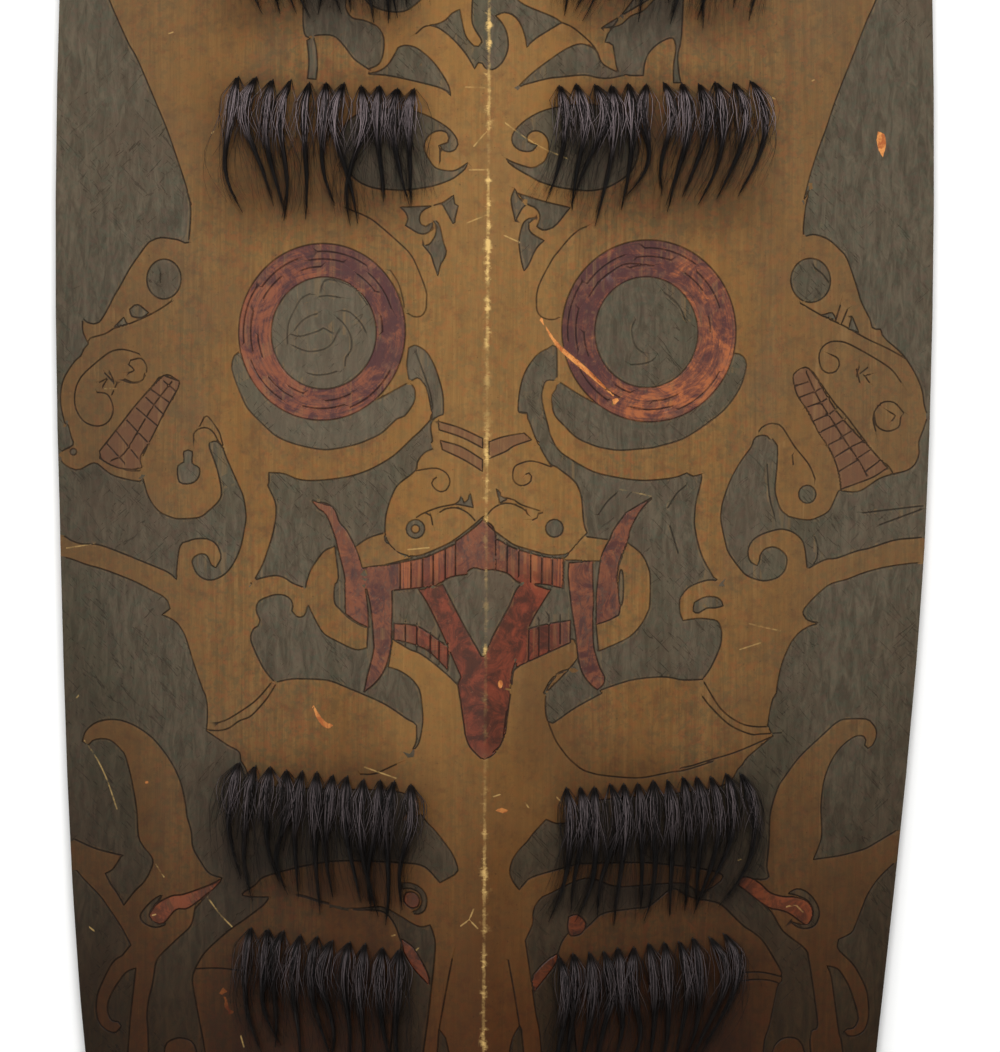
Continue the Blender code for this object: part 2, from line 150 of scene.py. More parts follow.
# Each line is one outline: what fills it, its name, and the points that its curve goes through.
# A point with ! is a corner. A later outline lies over an earlier one, a line is only incised,
# and a pair is drawn on both sides of the ridge. An oval has its centre and its two radii. A line that starts
# with two spaces carries on the one above it.
ORNAMENT = """
dark boss -10.8,205! -11.3,196 -11,191 -9.5,187.5 -7.5,184.5 -6.5,182 -8,180 -10,180.2 -12.8,183 -14.8,187
  -17,197.5! -20.5,195.8 -23.5,192.8 -27,191 -31,190.3! -27,189 -22,185.3 -17,180.3 -13,175 -9.8,169.5!
  -8,172.3 -6.3,172 -4.8,169.8 -2.5,169 0,169.6 3,172.3 5.2,176.5 6,181 5.3,186.3 3.3,190.6 0,194.4! 4,196
  8,195 11,192 13,188 14.2,184 14.8,180! 19,184.2 31,192! 27,194.6 13,200.2 8,205! 5,222 0,240! -6,222
dark leaf_left -21,157! -22,161.5 -25,167 -29,172.5 -33,176.5 -38,180 -43,181 -46,180! -50,173 -54,169.5
  -60,167.7! -50,166.7 -36,163.5 -25,160.3
dark leaf_right 9,159.5! 16,166.5 20,170 30,177.5 35,180.5 39,182 42,182 46,180.5 48.3,178.3! 50,174
  53,171.5 61,168! 54,166.3 48,166.5 42,167.5 30,166.2 25,165.5 16,163 12,161.5
dark lobe_left -91,205! -91.5,195 -90,186 -84,186.5 -77,186 -72,181.5 -67,175 -60,170! -55,172.5 -53,178
  -53,185 -56,190 -62,193 -68,194.5 -71,199 -71,205! -75,222 -84,226 -90,216
dark streak_left -89.5,184! -88.5,175 -89,166! -85,165.5! -84.5,172 -85,180 -86.5,186!
dark lobe_low_left -63,205! -60,201 -54,198 -47,196.8 -42,197.6 -37,201 -33,205! -38,220 -48,227 -58,219
dark lobe_right 50,190! 56,190.7 60,192.3 64,196 70,198.8 76,205! 89,205! 88,186 86.5,178 87,170 88,165!
  84.5,165! 84.5,173 85.5,181 84,186 79,184.5 74,180.5 71,175 70,168! 63,168 58,170 55.5,182 53,187 78,220
  84,226 89,216
dark wing_right 32,152.5 27,151.5 21,149.5 15,146 11,142.5 8.5,139 8,136 9,133.5 11.5,131.5 15,130.8
  18,131.5 20,134! 17,134.7 15.5,135.5 15,137.5 16.5,139.7 19,140.7 22,140 24.5,137.5 25.5,134 25,130
  23.5,126.5 20.5,124.3 17,123.2 9,125.5 4,128! 9,123.5 18,118.5 22,116.5 32,114 45,113 54,115 62,120 66,125
  68,133 66,142 60,150 50,153 40,153.5
dark wing_left -45,150.3 -38,149.6 -33,148 -28,145.5 -23,142.3 -20,139.5 -18,136.5 -17.5,134 -18.5,131.8
  -21,130.6 -24,131 -26.5,133.5! -22.3,135 -21.7,137 -22.6,139.3 -25,140.5 -28,140.2 -31,138.5 -33,135.5
  -33.3,131 -29.5,124.5 -27,122.6 -24,121.8 -20,121.5 -17,122.5 -13,125.2! -14,122.5 -17.5,119.5 -21,117.3
  -30,114.3 -42,112.7 -50,113 -58,114 -66,118 -72,126 -74,136 -70,145 -62,150 -52,151
dark tip_left -24.9,106.2! -19.4,110! -18.8,106 -17.2,105! -18.5,99.5 -18.8,95.3! -22.7,102.3
dark curl_left -44.5,104.6! -30,105! -32.8,103.6 -34.8,101.8 -35.5,98.8 -34.6,96.3 -32.4,95.4 -30.5,96.6
  -29.6,98.6! -29.2,95.6 -30.3,93.3 -32.6,92 -36,92.3 -42,96! -41,99 -42,102
dark leaf_small_left -29.5,99! -27.5,97.9 -25.8,95.3 -24,87.5 -22.7,83.9 -23.5,80.5 -25.3,77.5 -26.6,72.2!
  -28.8,78.5 -30,82 -33.7,86.6! -31,86.8 -29,89.2 -27.8,91.5 -27.5,94 -27.9,96.5
dark tip_right 9.5,113.2! 8,109.5 8,106 9.8,98! 13,104 15.5,106.2! 13,107.5 11,110
dark curl_right 11,111! 23.8,107.4 35.6,104.8! 29.5,97 26,94.6 22.7,94 20,95.6! 21.4,99.5 20.8,102.5
  18.5,104.8 15.5,106
dark leaf_small_right 19.8,99.9! 16.3,99.3 14.1,97.7 12.9,95.2 12,91.6 11.6,87.3 12.9,78.6 14.1,74.7!
  16.3,77.7 19,83.8 20.7,86.4 23.4,89! 18,92 16.2,94.5 16.2,97
dark field_left -225,278! -207,270 -198,245 -190,220 -185,205 -176,185 -171,176 -161,153 -156,141 -148,118
  -144.5,106 -146.7,112.8 -145.1,106.7 -144.9,99.7 -145.8,88.6! -150,60 -150,10 -135.2,-7! -132.8,-6.1
  -129.7,-7.9 -125.8,-16.6 -121,-27.1 -118.8,-32.3 -117.7,-38.4 -117.5,-43.7 -119.3,-54.1 -121,-59.4
  -123.6,-64.6 -126.7,-68.6 -130.6,-71.2 -134.1,-72.2 -137.6,-71.6 -140.7,-69.4 -142.4,-66.4 -143.3,-63.3
  -142,-61.1 -140.2,-60 -137.1,-59.9 -135.3,-62 -134,-65 -131.8,-66.3! -129.4,-61.9 -130.1,-57.9
  -132.3,-54.5 -136.3,-52.6 -141.5,-52.6 -145.1,-53.7 -149,-55.9 -150.6,-66 -150.7,-72! -155,-68.6
  -164.7,-64.6 -176.9,-59.8 -183.9,-57.2 -190,-55.5 -196.1,-55.5 -201.4,-54.1 -207.5,-50.7 -225,-45!
dark field_right 225,278! 205,268 194,243 186,218 181,205 177,196 172,183 163,160 158,145 154,134 150,121
  147,108 150.8,119 148.5,108.6 147.4,99 147.3,92.9! 148,60 140,5 133,-3.5 130.4,-2.2 127.7,-1.8 125.1,-2.6
  123.8,-4.2 122.9,-7.2 118.1,-13.8 113.2,-22.5 109.7,-32 108.6,-37.2 108.4,-42.4 110.6,-52.9 112.4,-58.1
  118.1,-65.8 120.7,-68.3 124.2,-70 128.6,-71 133,-70.5 136.5,-69 139.1,-66.3 140.2,-62.8 140,-59.3
  137.8,-56.8 134.7,-55.1 131.7,-55.1 129,-56.4 127.3,-59 127,-61.5 126,-63.8! 122.9,-62.2 121.6,-59.1
  121.8,-55.2 123.8,-51.7 127.7,-49.1 132.1,-47.5 137.3,-46.4 142.6,-47.6 147,-51 148.8,-55.2 150,-64.5!
  149.6,-65.6! 158.4,-61 164.6,-60 174.2,-56.6 180.4,-55.2 192.7,-51.3 207.1,-49.6 225,-45!
dark cheeks -106.5,-20.9! -99.6,-21.4 -91.7,-24.2 -82.1,-24.5 -68.2,-22.6 -57.7,-19 -49,-14.1 -44.6,-10.6
  -37.7,-3.9 -35,-1.6 -30.6,3.2 -28.9,5.8 -31.2,17.5 -33.5,22 -36,24 -39.8,21.9! -41,30 -40.2,38! -37.6,39.3
  -35,38.5 -31.5,35.8 -28,29.7 -25.8,23.6 -24,16.6 -23.6,10.5 -24,4.4 -28,-4 -28.5,-9.5 -20,-32 10,-30
  21.9,-8.1 15,-3 12.4,0 11.7,8.8 11.9,14.1 12.8,20.2 14.6,26.3 17.6,31.5 21,35.5 25.5,38.1 29.5,38.9 30,23!
  25.1,23 23.3,19 22.9,13.8 26,0.9 27.3,-3.5 30.8,-9.6 36.9,-14.1 47.4,-19.7 58.7,-22.4 70.9,-23.7
  83.2,-22.7 88.4,-21.5 91.9,-20! 95,-21.5 99,-20.5! 98.8,-24.2 96.6,-32.8 95.8,-39.7 96,-46.7 99.3,-59
  105,-69.5! 111.4,-73.6! 107.7,-71.3 102.4,-70.8 97.2,-72.4 92.8,-74.6 90.2,-77.7 88.9,-80.3 89,-86
  90.5,-90! 98,-89 103.3,-89.4 106.8,-90.2 108.6,-93.3 109,-97.6 108.2,-102.9 105.1,-110 103.3,-113.4
  100,-118! 90.5,-118.2 85.3,-117.2 79.2,-116.8 66.9,-118.1 56.5,-121.2 51.2,-123.3 52,-124.5! 40,-131
  32,-136.5 29,-138.5! 27,-138 27,-139 25.7,-135 25.3,-130 25.5,-126 26.5,-121.5 29,-118 32,-115 39.6,-112.4
  35.2,-113.3 31.7,-114.6 28.2,-117.6 26,-121.1 25.1,-124.6 41,-107 38.5,-99! 37.5,-98.8 33.6,-101
  28.3,-103.2 17.9,-108.9 10.4,-113.7 9.5,-120! -14,-120! -15.7,-120.8 -21.9,-115.2 -30.6,-108.3 -35,-105.6
  -39.3,-104 -47.2,-99.5 -47.2,-101! -49,-112.5! -43.7,-114.3 -39.3,-117 -35.9,-120.4 -33.7,-124.8
  -32.5,-135 -32.7,-140 -33.5,-145 -35,-149.5 -40,-155 -37,-151 -35.5,-147 -35.5,-140! -37,-138.5 -40,-137
  -50,-130.5 -60,-126 -70,-122 -75,-120 -80,-119 -90,-118.7 -96,-119 -104.5,-121 -101.7,-121! -103.9,-119.7
  -108.3,-114.4 -112.6,-106.1 -114.8,-100.4 -114.5,-97.4 -113.5,-95.2 -111.3,-93.8! -110.4,-91 -111.8,-88
  -112.2,-85 -110.9,-82 -107.4,-80.2 -103,-78.9 -98.6,-79.2 -95.6,-81.3 -94.7,-84.3 -95.1,-86.5 -93,-89!
  -91.7,-89.5 -89.1,-88.6 -87.8,-84.7 -87.4,-80.3 -88.7,-75.6! -94.7,-73.4 -97.8,-71.4 -101.3,-70
  -105.6,-70.1 -113.5,-72.3 -116.6,-75.8! -113.5,-72.3 -109.2,-64.4 -106.5,-56.6 -104.8,-51.3 -103.5,-45.2
  -103,-40 -103.5,-34.7 -107,-27 -106.5,-25.5!
dark cup_left -117,36.1! -120,36.5 -123.3,34.7 -124.6,30.4 -124,26 -119.6,14.7 -116.1,8.6 -108.3,0.8
  -103.9,-3 -99.5,-5.4 -91.7,-8 -82.1,-9.8 -76,-9.7 -65.5,-7.6 -55.9,-3.8 -51.6,-1 -45.5,4.7 -42,6 -37.8,12
  -37,16 -37.5,19.2 -39.8,21.9! -60,12 -85,8 -105,25
dark cup_right 110.9,29.6! 112.2,34.8 114.9,37 118.4,35.7 120.2,32.2 119.3,27 117.6,21.7 114.1,15.6
  109.8,10.3 103.7,5.1 97.5,0.7 104.6,6 101.5,3.4 90.2,-3.7 78.8,-7.3 73.6,-8.4 60.5,-9.5 54.4,-8.9
  48.3,-7.6 39.5,-3.8 33.4,1.9 29,6.8 27.7,12 27.7,16.5 29.5,19 30,23! 50,12 75,8 100,22
dark low_field_left -225,-61! -206.6,-61.6 -194.4,-65.3 -185.6,-67.7 -171.7,-72.9 -162.1,-77.7 -157.7,-79.9
  -155,-82.5 -153.8,-86! -157.7,-89! -154.2,-90.4 -150.7,-92.6 -148,-96.1 -145.9,-100.4 -142,-112.7
  -137.6,-124.9 -136.5,-127 -135.5,-133 -135.5,-140! -136,-144! -126,-150.5 -120,-154 -118,-160 -105,-170
  -42,-172 -42,-185 -38,-184! -33,-182! -30,-186 -26,-190 -19,-199 -16.5,-204 -15.5,-208 -17,-210 -24,-214!
  -29,-208.5 -33,-206 -42,-205 -75,-205 -105,-212 -112,-217 -118,-222 -104,-222.5 -92,-221 -80,-224 -65,-227
  -52,-226 -43,-230 -38,-233 -33,-235 -28.5,-234! -27,-238 -26,-245 -28,-266 -29.5,-280 -32,-300 -34,-330
  -42,-365 -62,-400 -92,-425 -130,-440 -180,-440! -225,-430!
dark low_field_right 225,-62! 207.1,-62 191.8,-63.6 179.5,-66.4 169,-70.3 164.6,-71.4 160.2,-73.2 154,-78.5
  148.8,-84.3 148.3,-86.9 149.6,-89 152.3,-90.4 156.7,-91! 151.4,-92.6 147,-95.2 144.4,-97.9 141.8,-101.8
  138.2,-110.5 136.1,-120.1 135.6,-124.5 134,-127 132.5,-133 131.5,-140! 134,-145! 122,-155 118,-160
  105,-170 45,-176 40,-184 32,-186 26,-184! 20,-190.5 17,-194.5 14,-197.5 11,-201.5 9.5,-205 9,-209
  10.5,-213 13.5,-217! 16,-214 20,-211 34,-207 42,-205! 75,-205 105,-209 110,-213 100,-219 92,-215 80,-215
  60,-216 45,-212 28,-219 24,-221 21,-225 20,-229 20,-233 16.5,-241! 18.5,-254 21.5,-274 23.5,-284 25,-300
  27,-330 35,-365 55,-400 85,-425 123,-440 173,-440! 225,-430!
dark triangle_right 155.5,-211.5! 175.5,-207.8! 177.5,-211! 173,-217 169,-226 168,-230.5! 165,-226 162,-218
  159,-214
wood head_left -145.8,88.6! -147.6,88.4 -151,89.9 -159.3,91 -163.3,89.7 -165.5,88.3 -169.8,82.7 -174.6,75.7
  -179.4,67 -181.6,63.5 -184.2,58.3 -186.9,53.5 -189,50.8 -191.7,50 -194.7,50.7 -196.4,52.1 -196.6,54.3
  -197,47 -194.3,40.3! -196.5,37.7 -197.8,34.7 -200.8,32.1 -205.2,25.5 -206.9,21.1 -207.6,16.8 -207.6,12.4
  -206.9,8 -204.8,0.2 -204.9,4.4 -202.2,-4.4 -201.4,-7.9 -206.6,-10.9 -207.5,-12.7 -207,-15.7 -204.8,-17.9
  -201.4,-19.5 -197.9,-19.7 -190.9,-16.6 -185.6,-20.1 -181.3,-22.7 -172.5,-24.9 -168.2,-24.9 -168,-21!
  -166.4,-27.1 -164.7,-32.3 -162.1,-36.7 -158.6,-40.2 -154.2,-42.1 -149.8,-43.1 -140.2,-42.4 -135.9,-39.7
  -130.6,-34.5 -129.3,-29.7 -131.5,-19.2 -135,-9.6 -135.2,-7! -138,2! -125,10 -128,50 -130,88
wood head_right 147.3,92.9! 151.6,94.2 156,93.4 160.4,91.3 164.8,87.3 168.4,83 173.3,69.5 175.5,62.5
  179.9,53.8 180.8,50.3 182.6,49.5 184.8,49.5 185.7,46.9! 188.3,44 194,39.3 197.5,35.4 201,30.1 203.7,24.9
  205.5,19.7 206.4,13.6 207.8,8.3 206.5,3 204,-4 204,-10 202,-15 198,-18 191.8,-19.6! 184.7,-22 176,-27.7
  170.7,-28.4 166.3,-27.8! 165,-28 161.9,-35 160.2,-37.7 156.7,-40 151.4,-41.9 146.1,-41.5 140.9,-40.3!
  137.3,-37.2 135.2,-32 134.3,-26.8 135.2,-16 135.2,-6.6 133,-3.5 128,10 130,50 132,90
wood nose -28.5,-9.5! -31.5,-10.8 -34,-13 -35.8,-16 -36.8,-19.9 -43.8,-25.5 -46.8,-29.4 -49.9,-38
  -50.8,-43.2 -50.9,-48.5 -49.9,-52.8 -47.7,-55.8 -44.6,-58.3 -40.3,-59.8 -35.9,-60 -31.5,-58.8 -22.8,-55
  -18.4,-52.5 -10.5,-46.5 -4.4,-41.2! -4.8,-42.1! -0.4,-46.9 6.5,-52.1 10.9,-54.8 19.6,-57.4 24,-58.7
  28.4,-59.3 32.7,-59 36.2,-57.9 41.5,-51.8 44.5,-48.7! 43,-44 42,-33.5 40.7,-28.2 38,-23.9 30.2,-17.9
  26.5,-15.6 20.6,-5.5 16.2,5 12,8 -26,6
wood jaw_left -74.8,-55.8! -78.8,-57.3 -81.5,-59.9 -85.9,-66.5 -87.6,-70.8 -88.6,-75.2 -88.5,-79.6 -87.2,-84
  -82.8,-92.7 -80.6,-96.2 -78,-98.4 -71,-101.9 -67.5,-103.6 -63.2,-104.7 -59.2,-103.6! -58.8,-94!
  -61.4,-93.4 -67.5,-90 -72.5,-85.2 -74.5,-83 -75,-78.7 -74.5,-73.5 -73,-70.8
wood jaw_right 63.8,-53.3! 67.7,-56 71.2,-59.5 73.4,-63.9 74.7,-69.1 74.6,-82.2 73.4,-86.6 71.2,-91
  67.8,-95.3 63.4,-98.8 52.9,-103.6 50.3,-104.5! 49.1,-92!
wood lip_left -65,-55.8! -60.4,-52.6 -56.8,-50.9 -50.5,-49! -50.9,-52.8 -44.6,-58.3 -38,-61! -52,-64.5
  -62,-66! -63.5,-61
wood lip_right 41,-50! 51,-51.4 55.4,-51.8! 53,-58 50.5,-62! 40.5,-61.7 33,-61.5! 38,-56.5
wood plant_left -141,-229! -143,-237 -150,-244 -158,-252 -160,-256! -161.5,-266 -163,-272 -164,-280
  -163.5,-288 -162,-318 -156,-350! -168,-330 -173,-308 -172.5,-288 -171,-272 -169.5,-258! -174,-260
  -178,-265 -181,-270 -183,-275 -183,-280 -181,-283.5 -178,-284 -176.5,-286! -179,-289 -183,-288.5 -187,-285
  -188.5,-280 -188.5,-274 -187,-268 -181,-256 -176,-252! -172,-247! -177,-238 -184,-228 -187,-224 -195,-216
  -198.5,-212! -225,-210! -225,-197! -199.5,-197! -190,-201 -180,-203.5 -175,-204.5 -177,-205! -181,-211
  -184.5,-213! -182,-218 -179,-222 -175.5,-228! -170,-221 -166,-217 -163,-212 -161.5,-206 -166,-200!
  -168.5,-195 -169.5,-182 -172,-168 -175,-157 -177,-154 -180,-151 -183,-149 -187,-148.5 -191,-149.5
  -193,-151.5 -196,-150! -195,-146 -192,-142.5 -188,-140.3 -183,-139.3 -178,-139.5 -173,-141 -168,-143.5
  -163,-147 -159,-151 -153,-159 -148.5,-168 -146,-178 -145,-185 -143,-192 -142,-200 -138,-207 -134,-212
  -128,-214! -135,-222
wood plant_right 131.5,-227! 134,-229 138,-236 141,-239.5 149,-245.5 151.5,-248.5! 153,-257 155,-270
  156.5,-284 153,-290 156,-330 148,-350! 162,-330 169,-308 168.5,-293 167,-287 165,-273 163,-260 161,-255!
  166,-256.5 169.5,-261 172.5,-267 176,-278 176,-282 174,-285 171,-285.5 169.5,-286.5! 171,-288.5 175,-288.8
  179,-286.5 181,-282 181.5,-277 181,-271 179.5,-265 174,-255 167,-248 166,-245 166.5,-242.5! 172.5,-239.5
  174.5,-236 178,-227 180,-222 183,-217 187,-212 195.5,-204! 225,-204! 225,-188! 197,-188! 195,-190
  184,-196.5 178,-199.5 166,-202.5 154,-204! 156.5,-198 158,-192 157.5,-180 158,-172 159,-166 161,-160
  163.5,-155 167,-150.5 171,-147 175,-145 178,-145.3 179,-147 178.5,-149.5 180,-151! 182,-150 184,-146
  184,-142 182,-139 179,-137 170,-137 165,-138.5 157,-145.5 147,-155 139.5,-165 136.5,-170 133,-182
  132.5,-195 131.5,-207 131.5,-213 118,-212.5!
wood dome_left -42,-243! -46,-233 -52,-228 -65,-227.5 -80,-224.5 -92,-221.5 -104,-222.5 -108,-226.5
  -117,-233.5 -124,-238.5 -133,-246.5 -137,-251 -140,-256! -142,-262 -141,-270 -137,-290 -135,-300 -128,-325
  -112,-345 -90,-352 -68,-345 -54,-325 -48,-300 -45,-270
wood dome_right 32,-247! 34,-241.5 38,-237 44,-236 48,-233 51,-230 56,-228 68,-226.5 75,-225.5 84,-218.5
  88,-217.5 92,-220 97,-222 104,-223.3 110,-225.5 120,-235 125,-238.5 130,-243 137,-254 139,-258! 139,-262!
  137,-265 134.5,-277 133,-284 131,-290 129.5,-300 122,-325 106,-345 84,-352 62,-345 48,-325 42,-300 38,-270
wood bud_left -155,-306 -155,-295 -151,-291.5 -146,-291 -141,-294 -139,-306 -141,-330 -147,-350! -153,-330
wood bud_right 134,-306 135,-295 138,-290.5 142,-289 147,-290 150,-295 151,-306 147,-330 140,-350! 136,-330
dark wedge_low_left -20.5,-335! -18.5,-300 -19.5,-293 -21,-287! -24,-283! -24.5,-290 -24.5,-300
dark wedge_low_right 14,-281! 10.5,-288 9.5,-300 13,-335! 16,-300 15,-283!
dark knot_left -42,-214.5 -38,-214.5 -34,-216 -31,-219 -30,-223 -31,-227 -34,-229 -38,-228.5! -34,-226.5
  -32.5,-223 -34,-219 -38,-217 -42,-217
dark jaw_gap_left -71.8,-70.7! -69.6,-73.3 -69.2,-77.7 -69.6,-82.1 -70.5,-86! -73.1,-83.8 -74.4,-79.5
  -74,-75.1
dark tooth_left_51 -181.5,48.6! -177,53! -175.5,49.8!
dark tooth_left_52 -174.2,56.9! -170.3,59.1 -165,55.2! -168,53 -173,53.5
dark tooth_right_1 156.2,55.7! 161.4,57 163.2,53.6!
dark tooth_right_2 171,55.4! 174.2,48! 169.4,49.4!
dark nostril_left -15,-30.5! -13.8,-34.5 -11.5,-33 -11,-29! -9.3,-37! -17.6,-35.4! -15.6,-33.5
dark nostril_right 1.6,-28.2! 3.5,-30 3.6,-31.5 6.5,-33! 3.4,-34.7! 2.3,-31.5
dark hollow_left -147.5,-11 -143.5,-11 -143.5,-16.5 -140,-19 -140.5,-23.5 -144,-26.2 -149.6,-25.5 -150.4,-18
  -147.5,-16
dark ear_right 95.9,-81.5! 99.8,-79.3 103.3,-78.6 106.8,-79.1 109,-81 109.6,-83! 106,-84 101.6,-84.2
  98,-86.4 95.4,-85.5
dark eye_slot_left -161,74 -159.4,74.4 -159.2,69 -160.8,68.8
dark crescent_low_left -157,-223 -161,-225 -165,-229 -167.5,-233 -166,-236 -162,-238 -158,-238 -154,-236!
  -158,-236.3 -161.5,-235 -163,-232 -161,-228.5
dark crescent_low_right 142,-220! 146,-218 150,-219 154,-222.5 156.5,-227 157,-231 155,-235.5 151,-237
  147,-236.5 143,-233.5! 148,-235 152,-234.5 154,-231 153.6,-227 151,-223.5 147,-221.5
red teeth_top_left -48.5,-64! -35.5,-61.5 -28.9,-59.5 -15,-53! -12,-68.5! -20,-70 -28,-74 -48,-76.5!
red teeth_top_right -1,-50! 7,-54.5 13,-57 24,-60 33.6,-61! 33.6,-75! 24,-73 13,-72.5 7,-68 -1,-66!
red teeth_low_left -46.5,-92! -36,-93 -29,-97 -20,-103.5! -21,-113.5! -30,-105 -38,-101.5 -46.5,-99.5!
red teeth_low_right 12,-99! 17.8,-94 27.5,-91.5 37,-90! 37,-100.5! 26,-105.5 11.5,-112!
red tusk_out_left -85.6,-34.5! -80,-35.2 -76,-37.1 -74,-40.5 -72.5,-44.6 -69,-48.5 -64.5,-57.3 -61.5,-67
  -59.6,-79 -58.8,-86 -58.6,-94! -64,-91.5 -69.5,-87.5! -69.8,-77 -70.2,-69.3 -73.5,-56.3 -75,-50.5 -79,-41
  -83,-37.8
red tusk_in_left -61.2,-66! -55.9,-65 -48,-64.5! -47.3,-82 -47.6,-100 -48.3,-106 -50,-112 -52.5,-117
  -56.5,-121.5 -60.5,-124.5! -59,-117 -56.2,-105.5 -56.2,-99.5 -57.5,-85 -60.5,-71.5
red tusk_out_right 55.3,-51.8! 57.1,-47.4 62.3,-40 65,-37.8 76.5,-31! 70.2,-37.6 65.4,-46.3 64.5,-50.6!
  60.3,-61 59.4,-65.6 59,-71 60.5,-83.5 59.8,-87.5! 55,-90 49.1,-92! 49.2,-80.6 49.5,-73.6 51.1,-61.4
  52.8,-56.2
red tusk_in_right 36.1,-62.9! 35.8,-69 37.2,-82.2 39.4,-96.2 40.8,-108.4 43,-115.4 47,-120.6 50,-122.8!
  52.6,-120.5 53.4,-117 51.2,-112.7 49.4,-107.4 48,-101.3 47.5,-89 47.9,-82 47.4,-69 47.4,-61.9!
red palate -17.5,-53! -10,-47.5 -4.4,-42.5! 1,-48 1.5,-66! -4,-66.5 -9,-65.5 -14,-69!
red tongue -34.8,-76! -30.4,-83 -23.4,-97 -17.3,-111 -14.7,-117 -16,-120 -14.5,-130 -13,-140 -12.2,-145
  -10,-150 -5,-155 -3.5,-155.5! -1,-154.5 2,-152 6,-145 7.5,-135 8.8,-125 10,-115 8.3,-124.6 9.1,-116.8
  10.4,-111.5 14.8,-100.2 19.1,-89.7 25.3,-79.2 27.5,-75.7! 14,-73 7.4,-84.4 0.4,-97.5 -4,-107 -7.5,-102.5
  -13.8,-91.7 -20.7,-78.6 -23.4,-73.4!
red ribbon_left -128,-214! -133,-217 -146,-222 -152,-223 -158,-226 -161,-229 -163,-233 -160,-236 -156,-236
  -150,-229.5 -144,-228.5 -133,-220 -129,-216!
red ribbon_right 118,-212.5! 122,-212 128,-215 133,-219.5 139,-221.5 146,-222 151,-224 153.5,-228 153,-233
  150,-235 143,-230 138,-228 132,-226.5 122,-219 118,-216!
red leaf_low_left -42,-241! -38,-243.5 -35,-247 -29.5,-257 -28.5,-263! -37,-254 -41,-247!
red leaf_low_right 20.5,-257! 24,-253 28,-249.5 31.5,-247.5! 32,-250 29,-255 21,-265! 20,-261
red fleck_low_right 37,-230! 41,-229 45,-233 43,-238 38,-239 36.5,-235
red fleck_low_left -40,-219 -36,-219 -33.5,-222 -34.5,-225.5 -38,-226 -41,-223
pair dark end_band_top -230,322! -206,318 -176,335 -150,365 -135,400 -128,440 -116,480 -92,520 -58,560
  -24,592! -24,645! -230,645!
pair dark end_leaf_top -12,300! -30,320 -44,350 -48,385 -38,420 -18,450 -11,475! -16,430 -24,400 -26,370
  -20,335
pair line -62,300 -84,325 -94,362 -86,400 -66,424 -46,418 -42,398 -56,388 -66,398
pair red end_flame_top -95,430! -80,442 -69,468 -64,500! -80,482 -90,456
pair dark end_band_low -230,-478! -160,-462 -118,-470 -84,-492 -56,-528 -30,-575 -22,-600! -22,-645!
  -230,-645!
pair dark end_leaf_low -10,-410! -26,-425 -36,-450 -36,-480 -24,-505 -10,-520! -18,-490 -20,-460
pair line -52,-440 -76,-448 -84,-466 -72,-480 -58,-472
red oval ring_left -81.6,45.8 39.8,41.9
red oval ring_right 73.6,47.1 41.5,43.1
dark oval pupil_left -80.7,45.3 25,26.5
dark oval pupil_right 72.3,46.5 24.5,26.2
dark oval eye_left -157.6,71.2 8.3,9.5
dark oval eye_right 150.9,72.3 9.6,10.5
dark oval nostril_ring_left -36.5,-47.3 4.4,4.4
wood oval nostril_spot_left -36.5,-47.3 2,2
dark oval nostril_ring_right 29.1,-46.6 4.2,4.2
dark oval disc_right 149.9,-29.7 4.2,4.3
dark oval curl_eye_left -201.2,-11.3 1.6,1.6
dark oval jaw_gap_right 60.9,-74.5 1.2,8.5
bare oval speck_left -164.5,-169 0.8,0.6
bare oval speck_nose 4,-120 1.1,1.9
stain stripe_left_1 -26,3.5! -16,0.5 -5,-4.5! -5,-9! -15,-4 -25.5,-0.5!
stain stripe_left_2 -25,-5.5! -15,-8.5 -5,-14.5! -5,-20! -14,-14.5 -24,-9.8!
stain stripe_right_1 -2,-6! 5,-3.6 14.5,-1.8! 18,-5! 9.7,-8 6,-10.5 -2,-14!
bare scratch_right 21.6,53.4! 30.4,40.9 44.6,28.8 59.8,13.4! 43.4,27 29.5,39.3
bare chip_top 183,144! 186,143 187,138 185.5,132! 183.5,135 182.5,140
bare mark_1 2,-179.5! 5,-178.3 8,-179.5 5.5,-180.8
bare mark_2 -127.5,-268! -125.2,-272 -124.6,-275 -123,-278! -126.3,-275.6 -126.4,-272
bare mark_3 -85,-130! -82,-135 -79,-138.5 -75,-140.5 -77,-142 -80.5,-140.5 -83.5,-136!
line -31,190.3 -34,189.5 -37.5,186.5
line 32,191.8 37,189.5 45,182.8 48.3,178.3
line -30,105 -25,106.4
line -70.4,104.6 -60.3,100.1 -55.1,96.6 -44.6,87.4 -40.2,83 -37.1,77.8 -32.3,65.6 -31.9,60.3 -32.3,55.9
  -34.5,53.1 -38,52.9 -40.6,54.4
line -49,74.7 -45.5,69 -43.7,63.8 -42.4,57.7
line 43.4,95.9 40.4,94.6 36,91 29.9,83.6 27.3,80.1 22,70 20.3,64.7 20,60.3 20.3,56 22,53.3 25.5,51.9 29,52
  30.8,52.9
line -194.3,40.3 -193.4,43 -186,45.2 -181.6,47.8 -175.5,49.5 -165,53.9 -158,57.8 -154.1,60.6
line -169.4,35.5 -173.8,37 -178.1,37.7 -182.5,36.9 -186.9,34.2 -195.6,26.8 -199.1,22 -200.6,16.8 -200.6,11.5
  -199.1,7.2 -196,3.2 -191.2,1.2 -186.9,1.5 -183.8,3.7 -182.1,7.2 -182.1,10.7 -183.8,15 -186,16.8
  -189.9,17.2
line -177.2,23 -173.8,21.8 -170.3,21.8 -167.6,23.3 -166.8,25.9
line 146.1,61.3 157.1,55.3 167.6,50.6 178.2,44.9 187.8,40.6 196.2,36.2
